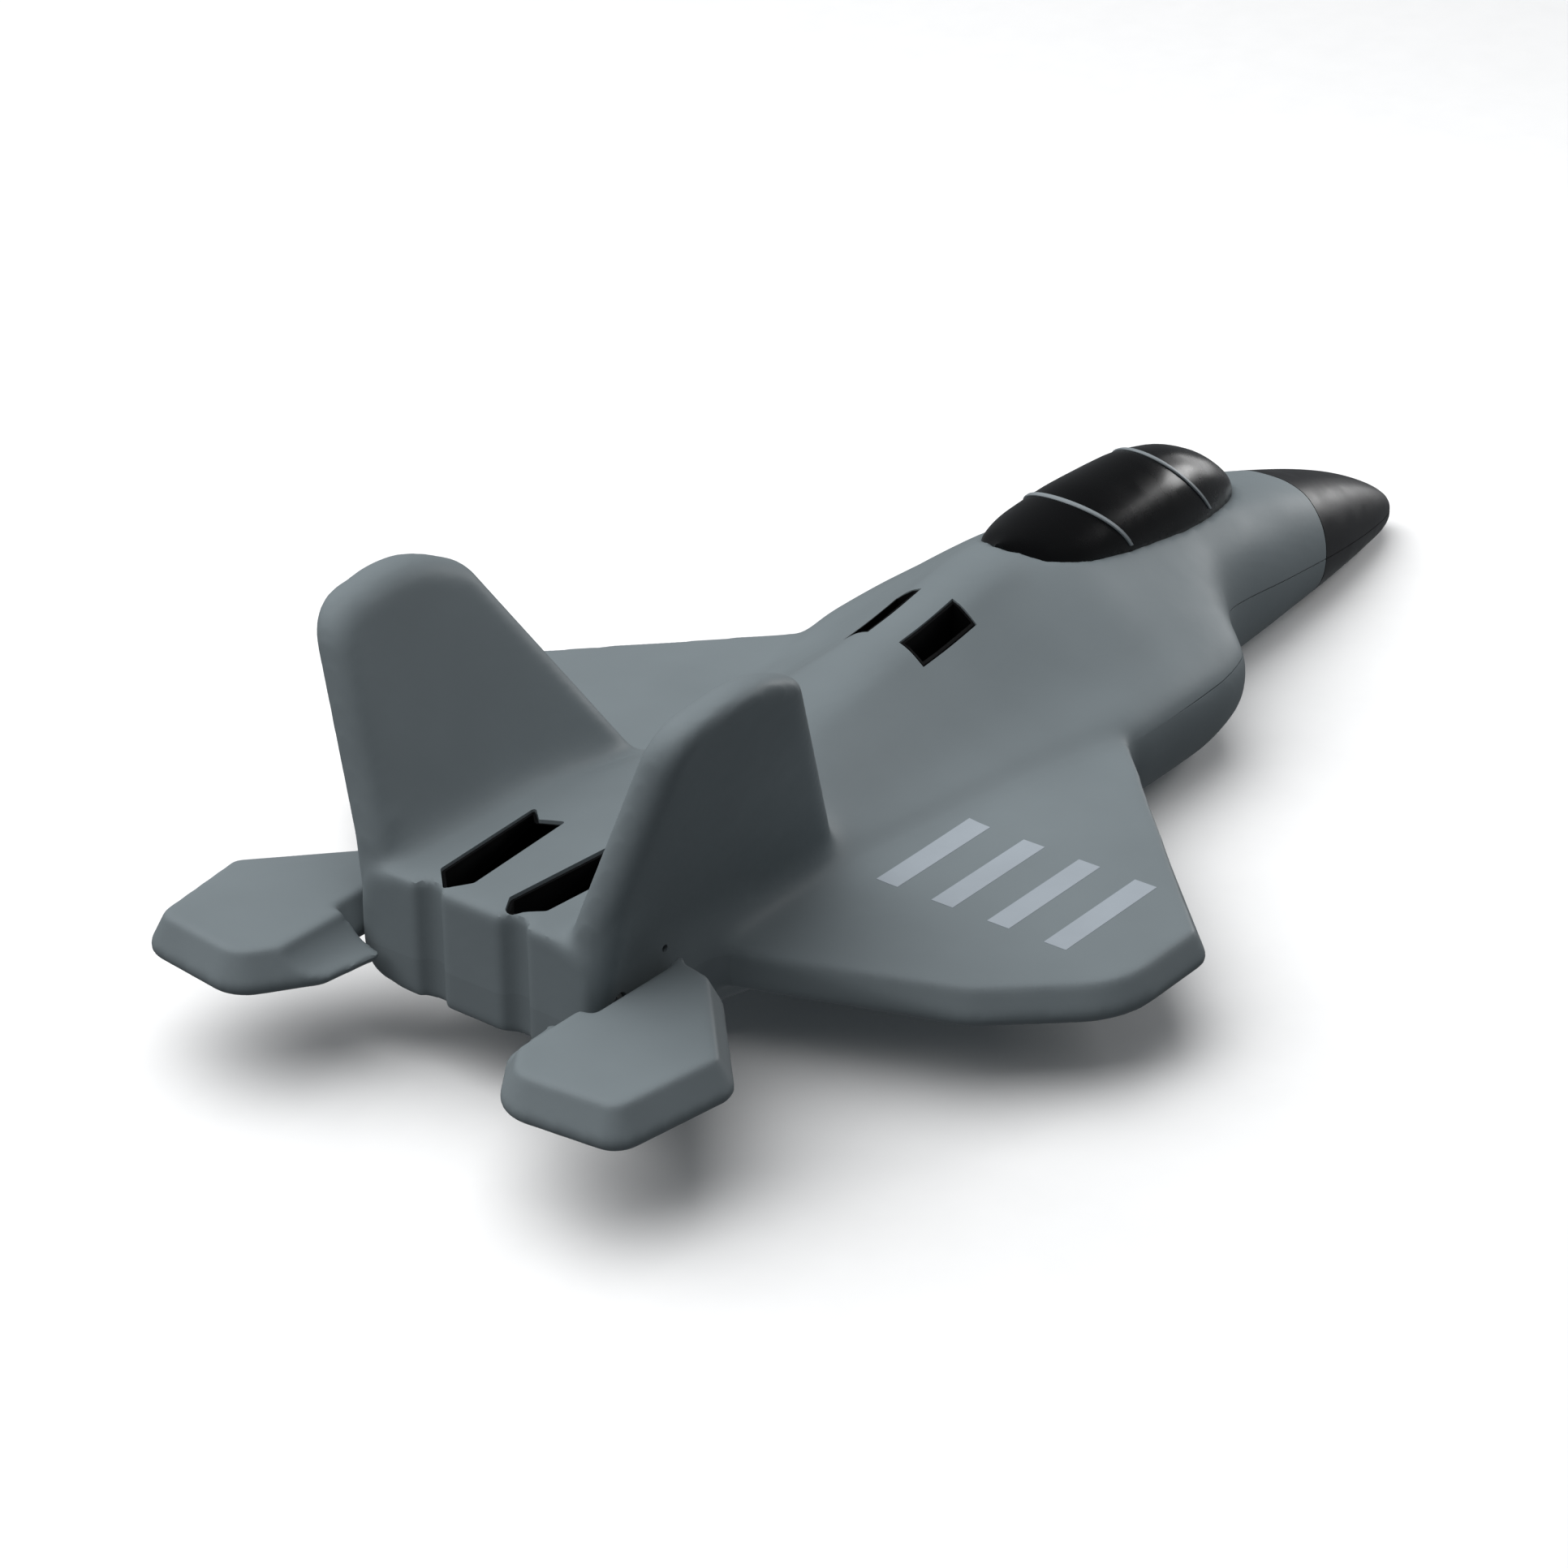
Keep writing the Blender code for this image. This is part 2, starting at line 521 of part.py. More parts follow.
def make_fans():
    for side, s in sides():
        y = s * FAN_Y
        home = (FAN_X, y, FAN_Z)
        make_shroud(side, s)
        motor = round_bar(f"fan_motor_{side}", (FAN_X - 8, y, FAN_Z), (FAN_X + 2, y, FAN_Z),
                          3.5, "aluminium", sides=28)
        cut(motor, round_bar(f"motor_bore_{side}", (FAN_X - 4, y, FAN_Z),
                             (FAN_X + 9, y, FAN_Z), 0.6, sides=12))
        rotor = round_bar(f"fan_rotor_{side}", (FAN_X + 2.6, y, FAN_Z),
                          (FAN_X + 8.0, y, FAN_Z), 3.4, "black_plastic", sides=28, origin=home)
        join(rotor, round_bar(f"rotor_shaft_{side}", (FAN_X - 3, y, FAN_Z),
                              (FAN_X + 3, y, FAN_Z), 0.5, sides=12))
        join(rotor, round_bar(f"rotor_nose_{side}", (FAN_X + 7.5, y, FAN_Z),
                              (FAN_X + 9.6, y, FAN_Z), 1.9, sides=20))
        for k in range(BLADES):
            join(rotor, blade(f"blade_{side}_{k}", y, 2 * math.pi * k / BLADES + 0.3))
    make_bulkhead()


def make_bulkhead():
    """Plate across the bay that holds both shrouds and splits inlet from exhaust."""
    rings = [section_ring(99.0, wall=WALL + 0.5) for _ in range(2)]
    rings = [[(x, y, z) for _, y, z in ring] for x, ring in zip((101.0, 103.0), rings)]
    plate_piece = loft("fan_bulkhead", rings, "plywood")
    for side, s in sides():
        cut(plate_piece, round_bar(f"shroud_hole_{side}", (95, s * FAN_Y, FAN_Z),
                                   (110, s * FAN_Y, FAN_Z), FAN_BORE + 0.8 + GAP, sides=40))
        y0, y1 = sorted((s * 20.9, s * 30.0))
        cut(plate_piece, box(f"rod_notch_{side}", (95, y0, 14.6), (110, y1, 19.4)))


# ---------------------------------------------------------------- air inlets and exhausts
def make_liners():
    for side, s in sides():
        y0, y1 = sorted((s * (VENT_Y[0] + GAP), s * (VENT_Y[1] - GAP)))
        x0, x1 = VENT_X[0] + GAP, VENT_X[1] - GAP
        liner = box(f"inlet_liner_{side}", (x0, y0, 38.6), (x1, y1, 56.0))
        cut(liner, box(f"inlet_bore_{side}", (x0 + 0.5, y0 + 0.5, 30), (x1 - 0.5, y1 - 0.5, 70)))
        combine(liner, form(f"inlet_trim_{side}", 140, 180, grow=-0.1), "INTERSECT")
        y0, y1 = sorted((s * (SLOT_Y[0] + GAP), s * (SLOT_Y[1] - GAP)))
        trough = box(f"exhaust_liner_{side}", (SLOT_X[0] + GAP, y0, 24.0), (51.5, y1, 39.3))
        cut(trough, box(f"trough_bore_{side}", (SLOT_X[0] + GAP + 0.6, y0 + 0.6, 24.8),
                        (80, y1 - 0.6, 60)))


# ---------------------------------------------------------------- canopy
def canopy_row(x):
    stations = [row[0] for row in CANOPY]
    return [curve_through(stations, [row[k] for row in CANOPY], x) for k in (1, 2, 3)]


def canopy_arch(x, inset=0.0, skirt=8.0, steps=8, lean=0.0):
    """Arch across the canopy at a station, closed by a skirt below the sill."""
    half, sill, crown = canopy_row(x)
    half, crown = max(0.2, half - inset), max(sill + 0.2, crown - inset)
    points = [(x, half, sill - skirt)]
    for k in range(steps + 1):
        turn = math.pi * k / (2 * steps)
        rise = math.sin(turn)
        points.append((x - lean * rise, half * math.cos(turn), sill + (crown - sill) * rise))
    mirrored = [(px, -py, pz) for px, py, pz in reversed(points[:-1])]
    return points + mirrored


def make_canopy():
    stations = np.concatenate([np.linspace(194, 202, 4), np.linspace(208, 273, 10), [276.5, 279]])
    glass = loft("canopy", [canopy_arch(x) for x in stations], "gloss_black")
    inner = np.linspace(200.0, 272.0, 10)
    cut(glass, loft("canopy_inside", [canopy_arch(x, 1.3, 20.0) for x in inner],
                    "gloss_black"))
    cut(glass, form("canopy_seat_cut", 150, 300, grow=GAP, pitch=7.5))
    canopy_band("canopy_frame_rear", 223.0, 8.0)
    canopy_band("canopy_frame_front", 256.5, 12.5)
    box("canopy_keeper", (259.5, -5.4, 40.2), (265.5, 5.4, 41.2), "steel")
    round_bar("canopy_magnet", (262.5, 0, 35.2), (262.5, 0, 37.6), 2.0, "steel")


def canopy_band(name, foot_x, lean):
    """Thin raised band over the canopy, leaning back from its foot to its crown."""
    lines = []
    for lift in (0.35, 0.95):
        for edge in (-0.8, 0.8):
            arch = []
            for k in range(17):
                turn = math.pi * k / 16
                rise = math.sin(turn)
                x = foot_x - lean * rise + edge
                half, sill, crown = canopy_row(x)
                arch.append((x, (half + lift) * math.cos(turn),
                             sill + 0.8 + (crown - sill - 0.8 + lift) * rise))
            lines.append(arch)
    low_back, low_front, high_back, high_front = lines
    rings = [list(ring) for ring in zip(low_back, low_front, high_front, high_back)]
    return loft(name, rings, "frame_grey")


# ---------------------------------------------------------------- what the bay holds
def make_bay_equipment():
    tray = box("battery_tray", (200.0, -11.0, 10.6), (254.0, 11.0, 12.0), "plywood")
    for i, (x, y) in enumerate(((203, -9), (203, 9), (250, -9), (250, 9))):
        join(tray, box(f"battery_post_{i}", (x - 2, y - 2, 8.0), (x + 2, y + 2, 11.0)))
    battery = box("battery", (207.0, -9.2, 12.3), (252.0, 9.2, 21.3), "battery_wrap")
    round_edges(battery, 1.6, 2)
    strap = box("battery_strap", (224.0, -12.3, 9.4), (234.0, 12.3, 22.6), "strap_fabric")
    cut(strap, box("strap_inside", (215.0, -11.4, 10.3), (240.0, 11.4, 21.7)))
    box("receiver_tape", (175.0, -8.0, 5.2), (193.0, 8.0, 7.6), "tape_white")
    board = box("receiver_board", (174.0, -9.0, 7.9), (194.0, 9.0, 9.1), "board_green")
    join(board, box("board_chip", (182.0, -3.0, 8.8), (188.0, 3.0, 10.3)))
    join(board, box("board_plugs", (175.0, -7.0, 8.8), (179.0, 7.0, 12.0)))
    round_bar("nose_ballast", (268.0, 0, 14.0), (281.0, 0, 14.0), 6.0, "steel", sides=28)


def make_switch():
    """Slide switch in a belly pocket, its slider proud of its case but not of the belly."""
    case = box("power_switch", (160.3, -3.9, 2.4), (171.7, 3.9, 8.6), "black_plastic")
    cut(case, box("switch_slot", (162.6, -1.4, -2.0), (169.4, 1.4, 6.4)))
    box("switch_slider", (163.0, -1.1, 0.9), (166.0, 1.1, 6.0), "white_nylon")


def main():
    clear_scene()
    make_upper_shell()
    make_lower_shell()
    make_nose_cone()
    make_wings()
    make_fins()
    make_stabilators()
    make_pushrods()
    make_servos()
    make_fans()
    make_liners()
    make_canopy()
    make_bay_equipment()
    make_switch()


main()
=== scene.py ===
"""Looks of the small foam RC jet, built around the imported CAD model.

The foam body, wings and fins are grown as one soft moulding, with filled roots and
rounded edges, and then parted into the pieces that the CAD names. Stations are in
millimetres as in the design: x runs forward from the tail, y to port, z up from the belly.
"""

import json
import math

import bmesh
import bpy
import numpy as np
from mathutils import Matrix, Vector


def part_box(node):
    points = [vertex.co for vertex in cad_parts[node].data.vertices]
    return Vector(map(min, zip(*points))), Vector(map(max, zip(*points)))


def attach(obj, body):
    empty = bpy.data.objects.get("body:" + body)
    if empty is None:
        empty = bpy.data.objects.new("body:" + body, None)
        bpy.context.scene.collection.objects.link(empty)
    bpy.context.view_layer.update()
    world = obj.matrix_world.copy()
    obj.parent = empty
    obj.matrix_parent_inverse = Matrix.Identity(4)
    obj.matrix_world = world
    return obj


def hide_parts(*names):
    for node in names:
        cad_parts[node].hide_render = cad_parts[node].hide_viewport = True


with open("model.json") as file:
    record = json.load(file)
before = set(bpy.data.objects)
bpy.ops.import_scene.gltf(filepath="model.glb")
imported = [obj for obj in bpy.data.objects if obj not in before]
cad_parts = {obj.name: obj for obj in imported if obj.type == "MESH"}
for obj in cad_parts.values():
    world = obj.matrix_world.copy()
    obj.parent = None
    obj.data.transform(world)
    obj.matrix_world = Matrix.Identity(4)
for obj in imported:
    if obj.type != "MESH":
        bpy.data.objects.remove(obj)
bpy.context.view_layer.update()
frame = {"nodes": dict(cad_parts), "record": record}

# ---------------------------------------------------------------- design sizes, mm
MM = 0.001
LENGTH = 350.0
GAP = 0.3
WALL = 4.5
NOSE_JOINT = 297.5
TAIL_END = 30.0
SEAM_Z, SEAM_BREAK, SEAM_NOSE_Z = 23.0, 242.0, 14.6
WING_TOP, WING_THICK = 24.0, 8.0
FIN_FOOT = (24.5, 36.0)
FIN_CANT = math.tan(math.radians(19.0))
FIN_THICK = 8.8
PIVOT_X, PIVOT_Z = 38.0, 25.0
VOXEL = 0.85              # grid of the moulded foam
SLOT_OUTLINE = [(36.2, 4.3), (31.2, 7.4), (36.6, 13.0), (65.6, 15.0), (62.0, 11.0), (64.4, 6.4)]
SLOT_CORNERS = (1.5, 1.2, 1.5, 0.5, 0.3, 0.5)
VENT_X, VENT_Y = (154.5, 172.5), (3.9, 10.1)
HATCH_X, HATCH_HALF = (206.0, 258.0), 9.5
SLOT_LOW_Z, VENT_LOW_Z, HATCH_LOW_Z = 23.6, 33.0, 25.0      # how far down each opening is cut
GROOVE_Y, GROOVE_RADIUS = 10.4, 3.3     # upright grooves beside the nozzle block
SCOOP_Y, SCOOP_Z, SCOOP_RADIUS = 19.5, 33.0, 10.0
STAB_FACES = (21.0, 29.8)
STAB_VOXEL = 0.7
ROD_RADIUS, BUSH_RADIUS = 1.0, 2.2
CHANNEL = ((33.0, 19.3, 15.2), (131.0, 24.1, 28.5))      # port linkage channel
COLUMN_ENDS = ((33.8, 22.8, 17.4), (36.2, 27.9, 46.0))   # port column under the fin's rear edge
COLUMN_RADIUS = 4.5
FIN_EDGE = 3.9
FIN_PART_Z = 44.0         # above this the fins are pieces of their own
WING_PART_Z = 30.0        # below this the wings are
PIN_HOLE_X, PIN_HOLE_Y, PIN_HOLE_Z, PIN_HOLE_RADIUS = 51.4, (40.0, 24.6), 30.6, 0.75
SPAR_X, SPAR_Z, SPAR_TIP, SPAR_HOLE_RADIUS = 143.0, 20.0, 72.4, 1.8
SPIGOT_X, SPIGOT_Z, SPIGOT_RADIUS = 289.5, 14.0, 5.0
MAGNET_X, MAGNET_SEAT_Z, MAGNET_RADIUS = 262.5, 34.9, 2.0
SWITCH_POCKET = ((160.0, -4.2, -5.0), (172.0, 4.2, 12.0))
BELLY_FLAT_X = (50.0, 280.0)
BAR_X, BAR_WIDTH = (105.0, 135.0), 5.0
BAR_STARTS = (-36.0, -49.0, -62.0, -75.0)

SECTIONS = (
    (30.0, (0, 12, 21, 26, 28, 26.5, 20), (39.8, 39.8, 39, 36, 27, 19, 15.4), 15.0),
    (63.0, (0, 12, 21, 26.5, 28.5, 27, 20), (39.8, 39.8, 38.6, 35, 25, 14, 8.5), 8.0),
    (100.0, (0, 8, 15, 23.5, 28.5, 27.5, 21), (41, 40.4, 37.8, 30.5, 24, 9, 2.2), 1.0),
    (130.0, (0, 7, 13, 23.5, 31.5, 29, 23), (43.4, 42.3, 38.4, 30, 24, 7.5, 0.5), -0.4),
    (160.0, (0, 6, 11.5, 24, 36, 34, 25), (46.8, 45.3, 41.2, 31.4, 24, 9, 0.5), -0.4),
    (190.0, (0, 6, 12.5, 29, 41.5, 39, 27), (51.2, 49.8, 45.2, 33.2, 24, 9, 0.6), -0.4),
    (203.0, (0, 6, 13, 30.5, 41.5, 39, 27), (49.4, 49, 46, 33.2, 23.5, 9, 0.6), -0.4),
    (216.0, (0, 6, 13, 30.2, 41, 38.6, 27), (47, 46.7, 44.6, 33, 23, 9, 0.6), -0.4),
    (229.0, (0, 6, 13, 27.5, 38.4, 36.5, 25), (44.8, 44.5, 42.6, 33.2, 22.5, 9.5, 1.0), 0.2),
    (240.0, (0, 6, 12.5, 22.5, 28.5, 27, 19), (43, 42.7, 40.8, 33, 22.5, 10, 2.4), 1.6),
    (250.0, (0, 6, 12, 18.8, 21.8, 20.8, 15), (41.2, 40.9, 39.1, 32, 22, 10.5, 3.6), 2.7),
    (280.0, (0, 6, 12, 16.8, 18.5, 17.2, 12), (35.4, 35, 32.6, 26, 17.5, 9.2, 3.9), 3.2),
    (303.5, (0, 5.5, 10.5, 14.3, 15.6, 14.2, 9.5), (28.9, 28.4, 26, 20.6, 14, 7.7, 3.7), 3.0),
    (325.0, (0, 4, 7.8, 10.6, 11.6, 10.6, 7.2), (21.4, 20.9, 19, 15, 10.8, 6.6, 3.7), 3.1),
    (340.0, (0, 2.4, 4.8, 6.6, 7.2, 6.6, 4.6), (13.8, 13.5, 12.5, 10.4, 7.8, 5.3, 3.6), 3.2),
    (350.0, (0, 0.3, 0.6, 0.8, 0.9, 0.8, 0.6), (6.6, 6.5, 6.4, 6.2, 6, 5.6, 5.4), 5.3),
)
CANOPY = (
    (194.0, 1.2, 50.0, 51.6),
    (200.0, 9.0, 47.0, 52.4),
    (212.0, 12.4, 45.6, 53.8),
    (225.0, 13.0, 44.2, 55.0),
    (240.0, 12.5, 42.6, 55.2),
    (252.0, 11.4, 41.0, 53.4),
    (264.0, 9.1, 38.8, 48.6),
    (273.0, 6.0, 37.0, 42.4),
    (279.0, 1.4, 35.5, 36.5),
)
BAND_PROFILE = ((-0.6, -0.2), (0.6, -0.2), (0.62, 0.15), (0.4, 0.35), (-0.4, 0.35), (-0.62, 0.15))
BAND_FOOT = 0.4
WING_OUTLINE = [(199.0, 25.0), (127.0, 97.0), (101.0, 97.0), (81.0, 75.0), (64.5, 25.0)]
WING_CORNERS = (0, 2.5, 20.0, 16.0, 0)
STAB_OUTLINE = [(54.5, 29.1), (52.4, 41.0), (29.8, 62.0), (2.8, 58.0), (0.0, 32.5),
                (14.5, 22.4), (28.0, 20.8), (28.0, 29.1)]
STAB_CORNERS = (1.0, 6.0, 5.0, 6.0, 9.0, 4.0, 0.8, 0)
FIN_OUTLINE = [(31.0, 25.0), (31.0, 42.0), (37.0, 84.6), (60.0, 87.6), (74.0, 81.0), (109.0, 25.0)]
FIN_CORNERS = (0, 30.0, 10.0, 30.0, 9.0, 0)
SIDES = (("left", 1), ("right", -1))


# ---------------------------------------------------------------- node materials
class Paint:
    """A node material in the making; each method adds nodes and returns an output."""

    def __init__(self, name, colour, rough, **sockets):
        self.made = bpy.data.materials.new(name)
        self.made.use_nodes = True
        self.tree = self.made.node_tree
        self.shader = self.tree.nodes["Principled BSDF"]
        self.shader.inputs["Base Color"].default_value = (*colour, 1.0)
        self.shader.inputs["Roughness"].default_value = rough
        for socket, value in sockets.items():
            self.shader.inputs[socket.replace("_", " ")].default_value = value
        self.place = self.tree.nodes.new("ShaderNodeTexCoord").outputs["Object"]

    def node(self, kind, **inputs):
        made = self.tree.nodes.new(kind)
        for name, value in inputs.items():
            self.feed(made.inputs[name.replace("_", " ")], value)
        return made

    def feed(self, socket, value):
        if isinstance(value, bpy.types.NodeSocket):
            self.tree.links.new(value, socket)
        else:
            socket.default_value = value

    def noise(self, scale, detail=3.0, rough=0.55):
        return self.node("ShaderNodeTexNoise", Vector=self.place, Scale=scale,
                         Detail=detail, Roughness=rough).outputs["Fac"]

    def cells(self, scale):
        made = self.node("ShaderNodeTexVoronoi", Vector=self.place, Scale=scale)
        return made.outputs["Distance"]

    def span(self, value, low, high):
        """Maps 0.3..0.7 of a texture to low..high."""
        return self.node("ShaderNodeMapRange", Value=value, From_Min=0.3, From_Max=0.7,
                         To_Min=low, To_Max=high).outputs["Result"]

    def blend(self, share, low, high):
        made = self.tree.nodes.new("ShaderNodeMix")
        made.data_type = "RGBA"
        self.feed(made.inputs[0], share)
        self.feed(made.inputs[6], (*low, 1.0))
        self.feed(made.inputs[7], (*high, 1.0))
        return made.outputs[2]

    def colour(self, value):
        self.feed(self.shader.inputs["Base Color"], value)

    def rough(self, value):
        self.feed(self.shader.inputs["Roughness"], value)

    def bump(self, height, strength, depth):
        made = self.node("ShaderNodeBump", Height=height, Strength=strength, Distance=depth)
        last = self.shader.inputs["Normal"]
        if last.is_linked:
            self.tree.links.new(last.links[0].from_socket, made.inputs["Normal"])
        self.tree.links.new(made.outputs["Normal"], last)


def shades(colour, spread):
    return [c * (1 - spread) for c in colour], [c * (1 + spread) for c in colour]


def moulded_foam(name, colour):
    """Smooth matt moulded foam: faint bead cells, cloudy tone and a dry, even sheen."""
    paint = Paint(name, colour, 0.55, Specular_IOR_Level=0.32)
    cloud = paint.span(paint.noise(24.0), 0.0, 1.0)
    paint.colour(paint.blend(cloud, *shades(colour, 0.06)))
    paint.rough(paint.span(paint.noise(60.0), 0.50, 0.60))
    paint.bump(paint.cells(420.0), 0.05, 0.0003)
    paint.bump(paint.noise(1500.0, 2.0), 0.06, 0.0001)
    return paint.made


def plastic(name, colour, rough, spread=0.08, grain=900.0, depth=0.00008, **sockets):
    paint = Paint(name, colour, rough, **sockets)
    paint.colour(paint.blend(paint.span(paint.noise(70.0), 0.0, 1.0), *shades(colour, spread)))
    paint.rough(paint.span(paint.noise(180.0), rough * 0.85, rough * 1.15))
    paint.bump(paint.noise(grain, 2.0), 0.1, depth)
    return paint.made


def metal(name, colour, rough, stretch=(1.0, 14.0, 14.0)):
    """Drawn or turned metal, with its grain along the part."""
    paint = Paint(name, colour, rough, Metallic=1.0)
    lines = paint.node("ShaderNodeMapping", Vector=paint.place, Scale=stretch).outputs["Vector"]
    grain = paint.node("ShaderNodeTexNoise", Vector=lines, Scale=220.0, Detail=4.0).outputs["Fac"]
    paint.colour(paint.blend(paint.span(grain, 0.0, 1.0), *shades(colour, 0.08)))
    paint.rough(paint.span(grain, rough * 0.8, rough * 1.25))
    paint.bump(grain, 0.15, 0.00004)
    return paint.made


def plywood(name):
    paint = Paint(name, (0.5, 0.34, 0.18), 0.65)
    lines = paint.node("ShaderNodeMapping", Vector=paint.place, Scale=(1.0, 12.0, 6.0))
    grain = paint.node("ShaderNodeTexNoise", Vector=lines.outputs["Vector"], Scale=60.0,
                       Detail=6.0, Distortion=0.6).outputs["Fac"]
    paint.colour(paint.blend(paint.span(grain, 0.0, 1.0), (0.33, 0.20, 0.09), (0.58, 0.42, 0.24)))
    paint.bump(grain, 0.2, 0.0002)
    return paint.made


def carbon(name):
    paint = Paint(name, (0.014, 0.014, 0.015), 0.32)
    weave = paint.node("ShaderNodeTexChecker", Vector=paint.place, Scale=900.0).outputs["Fac"]
    paint.colour(paint.blend(weave, (0.010, 0.010, 0.011), (0.024, 0.024, 0.026)))
    paint.bump(weave, 0.2, 0.00005)
    return paint.made


def webbing(name):
    paint = Paint(name, (0.02, 0.02, 0.022), 0.85, Sheen_Weight=0.3)
    ribs = paint.node("ShaderNodeTexWave", Vector=paint.place, Scale=450.0, Distortion=0.3)
    ribs.bands_direction = "X"
    paint.colour(paint.blend(ribs.outputs["Fac"], (0.012, 0.012, 0.014), (0.035, 0.035, 0.038)))
    paint.bump(ribs.outputs["Fac"], 0.5, 0.0003)
    return paint.made


FOAM_GREY = (0.158, 0.184, 0.196)
PAINTS = {
    "foam": lambda: moulded_foam("foam_upper", FOAM_GREY),
    # the belly takes the upper foam's colour made 7% darker: painted shade over the whole lower
    # shell
    "foam_belly": lambda: moulded_foam("foam_lower_painted_shade", tuple(0.93 * c for c in FOAM_GREY)),
    "cone_black": lambda: plastic("cone_black", (0.010, 0.010, 0.011), 0.36, 0.15,
                                  Specular_IOR_Level=0.3),
    "carbon": lambda: carbon("carbon"),
    "steel": lambda: metal("steel", (0.55, 0.56, 0.58), 0.3),
    "white_nylon": lambda: plastic("white_nylon", (0.68, 0.68, 0.65), 0.42, 0.03),
    "black_plastic": lambda: plastic("black_plastic", (0.002, 0.002, 0.0022), 0.6, 0.2,
                                     Specular_IOR_Level=0.15),
    "plywood": lambda: plywood("plywood"),
    "motor_alloy": lambda: metal("motor_alloy", (0.62, 0.63, 0.65), 0.35),
    "canopy_gloss": lambda: plastic("canopy_gloss", (0.001, 0.001, 0.0012), 0.27, 0.2, 300.0,
                                    0.000005, Specular_IOR_Level=0.28),
    "frame_grey": lambda: plastic("frame_grey", (0.21, 0.235, 0.25), 0.45, 0.05),
    "battery_wrap": lambda: plastic("battery_wrap", (0.045, 0.14, 0.31), 0.22, 0.06, 400.0),
    "strap_fabric": lambda: webbing("strap_webbing"),
    "tape_white": lambda: plastic("foam_tape", (0.70, 0.70, 0.67), 0.85, 0.06, 1400.0, 0.0003),
    "board_green": lambda: plastic("board_green", (0.012, 0.11, 0.05), 0.38, 0.15),
}
made_paints = {}


def paint_of(slot):
    if slot not in made_paints:
        made_paints[slot] = PAINTS[slot]()
    return made_paints[slot]


# two paints for pieces that stand on parts of another colour
BAR_PAINT = plastic("bar_paint", (0.30, 0.335, 0.37), 0.6, 0.04)
AMBER_PAINT = plastic("amber_tape", (0.42, 0.20, 0.035), 0.3, 0.08)


# ---------------------------------------------------------------- mesh tools
def spot(x, y, z):
    return ((x - LENGTH / 2) * MM, y * MM, z * MM)


def solid(name, points, faces):
    """A closed object from points in stations, its faces turned outwards."""
    mesh = bpy.data.meshes.new(name)
    mesh.from_pydata([spot(*p) for p in points], [], faces)
    shape = bmesh.new()
    shape.from_mesh(mesh)
    bmesh.ops.recalc_face_normals(shape, faces=shape.faces)
    shape.to_mesh(mesh)
    shape.free()
    made = bpy.data.objects.new(name, mesh)
    bpy.context.scene.collection.objects.link(made)
    return made


def loft(name, rings):
    count = len(rings[0])
    points = [p for ring in rings for p in ring]
    faces = [tuple(reversed(range(count)))]
    for r in range(len(rings) - 1):
        for i in range(count):
            j = (i + 1) % count
            a, b = r * count, (r + 1) * count
            faces.append((a + i, a + j, b + j, b + i))
    faces.append(tuple(range(len(points) - count, len(points))))
    return solid(name, points, faces)


def box(name, low, high):
    (x0, y0, z0), (x1, y1, z1) = low, high
    return loft(name, [[(x, y0, z0), (x, y1, z0), (x, y1, z1), (x, y0, z1)] for x in (x0, x1)])


def round_bar(name, start, end, radius, sides=32):
    a, b = Vector(start), Vector(end)
    along = (b - a).normalized()
    side = along.orthogonal().normalized()
    up = along.cross(side)
    turns = [2 * math.pi * i / sides for i in range(sides)]
    return loft(name, [[tuple(c + radius * (math.cos(t) * side + math.sin(t) * up))
                        for t in turns] for c in (a, b)])


def prism(name, outline, low, high):
    """Upright prism over an outline in plan."""
    return loft(name, [[(x, y, z) for x, y in outline] for z in (low, high)])


def settle(piece):
    """Applies the object's modifiers."""
    graph = bpy.context.evaluated_depsgraph_get()
    mesh = bpy.data.meshes.new_from_object(piece.evaluated_get(graph))
    piece.modifiers.clear()
    piece.data = mesh
    return piece


def carve(piece, *tools, operation="DIFFERENCE"):
    """Cuts a piece with the tools, which are used up."""
    for tool in tools:
        change = piece.modifiers.new(tool.name, "BOOLEAN")
        change.operation = operation
        change.solver = "MANIFOLD"
        change.object = tool
    settle(piece)
    for tool in tools:
        bpy.data.objects.remove(tool)
    return piece


def copy_of(piece, name):
    made = piece.copy()
    made.data = piece.data.copy()
    made.name = name
    bpy.context.scene.collection.objects.link(made)
    return made


def remesh(piece, size):
    change = piece.modifiers.new("grid", "REMESH")
    change.mode = "VOXEL"
    change.voxel_size = size * MM
    return settle(piece)


def merge(name, pieces):
    """One mesh holding several closed shells, ready to be remeshed into one."""
    shape = bmesh.new()
    for piece in pieces:
        shape.from_mesh(piece.data)
        bpy.data.objects.remove(piece)
    mesh = bpy.data.meshes.new(name)
    shape.to_mesh(mesh)
    shape.free()
    made = bpy.data.objects.new(name, mesh)
    bpy.context.scene.collection.objects.link(made)
    return made


def main_shell(piece):
    """Keeps the largest group of joined points, without the loose scraps that a cut can leave."""
    shape = bmesh.new()
    shape.from_mesh(piece.data)
    seen, shells = set(), []
    for start in shape.verts:
        if start in seen:
            continue
        shell, front = [], [start]
        seen.add(start)
        while front:
            point = front.pop()
            shell.append(point)
            for edge in point.link_edges:
                other = edge.other_vert(point)
                if other not in seen:
                    seen.add(other)
                    front.append(other)
        shells.append(shell)
    shells.sort(key=len)
    scraps = [point for shell in shells[:-1] for point in shell]
    bmesh.ops.delete(shape, geom=scraps, context="VERTS")
    shape.to_mesh(piece.data)
    shape.free()
    return piece


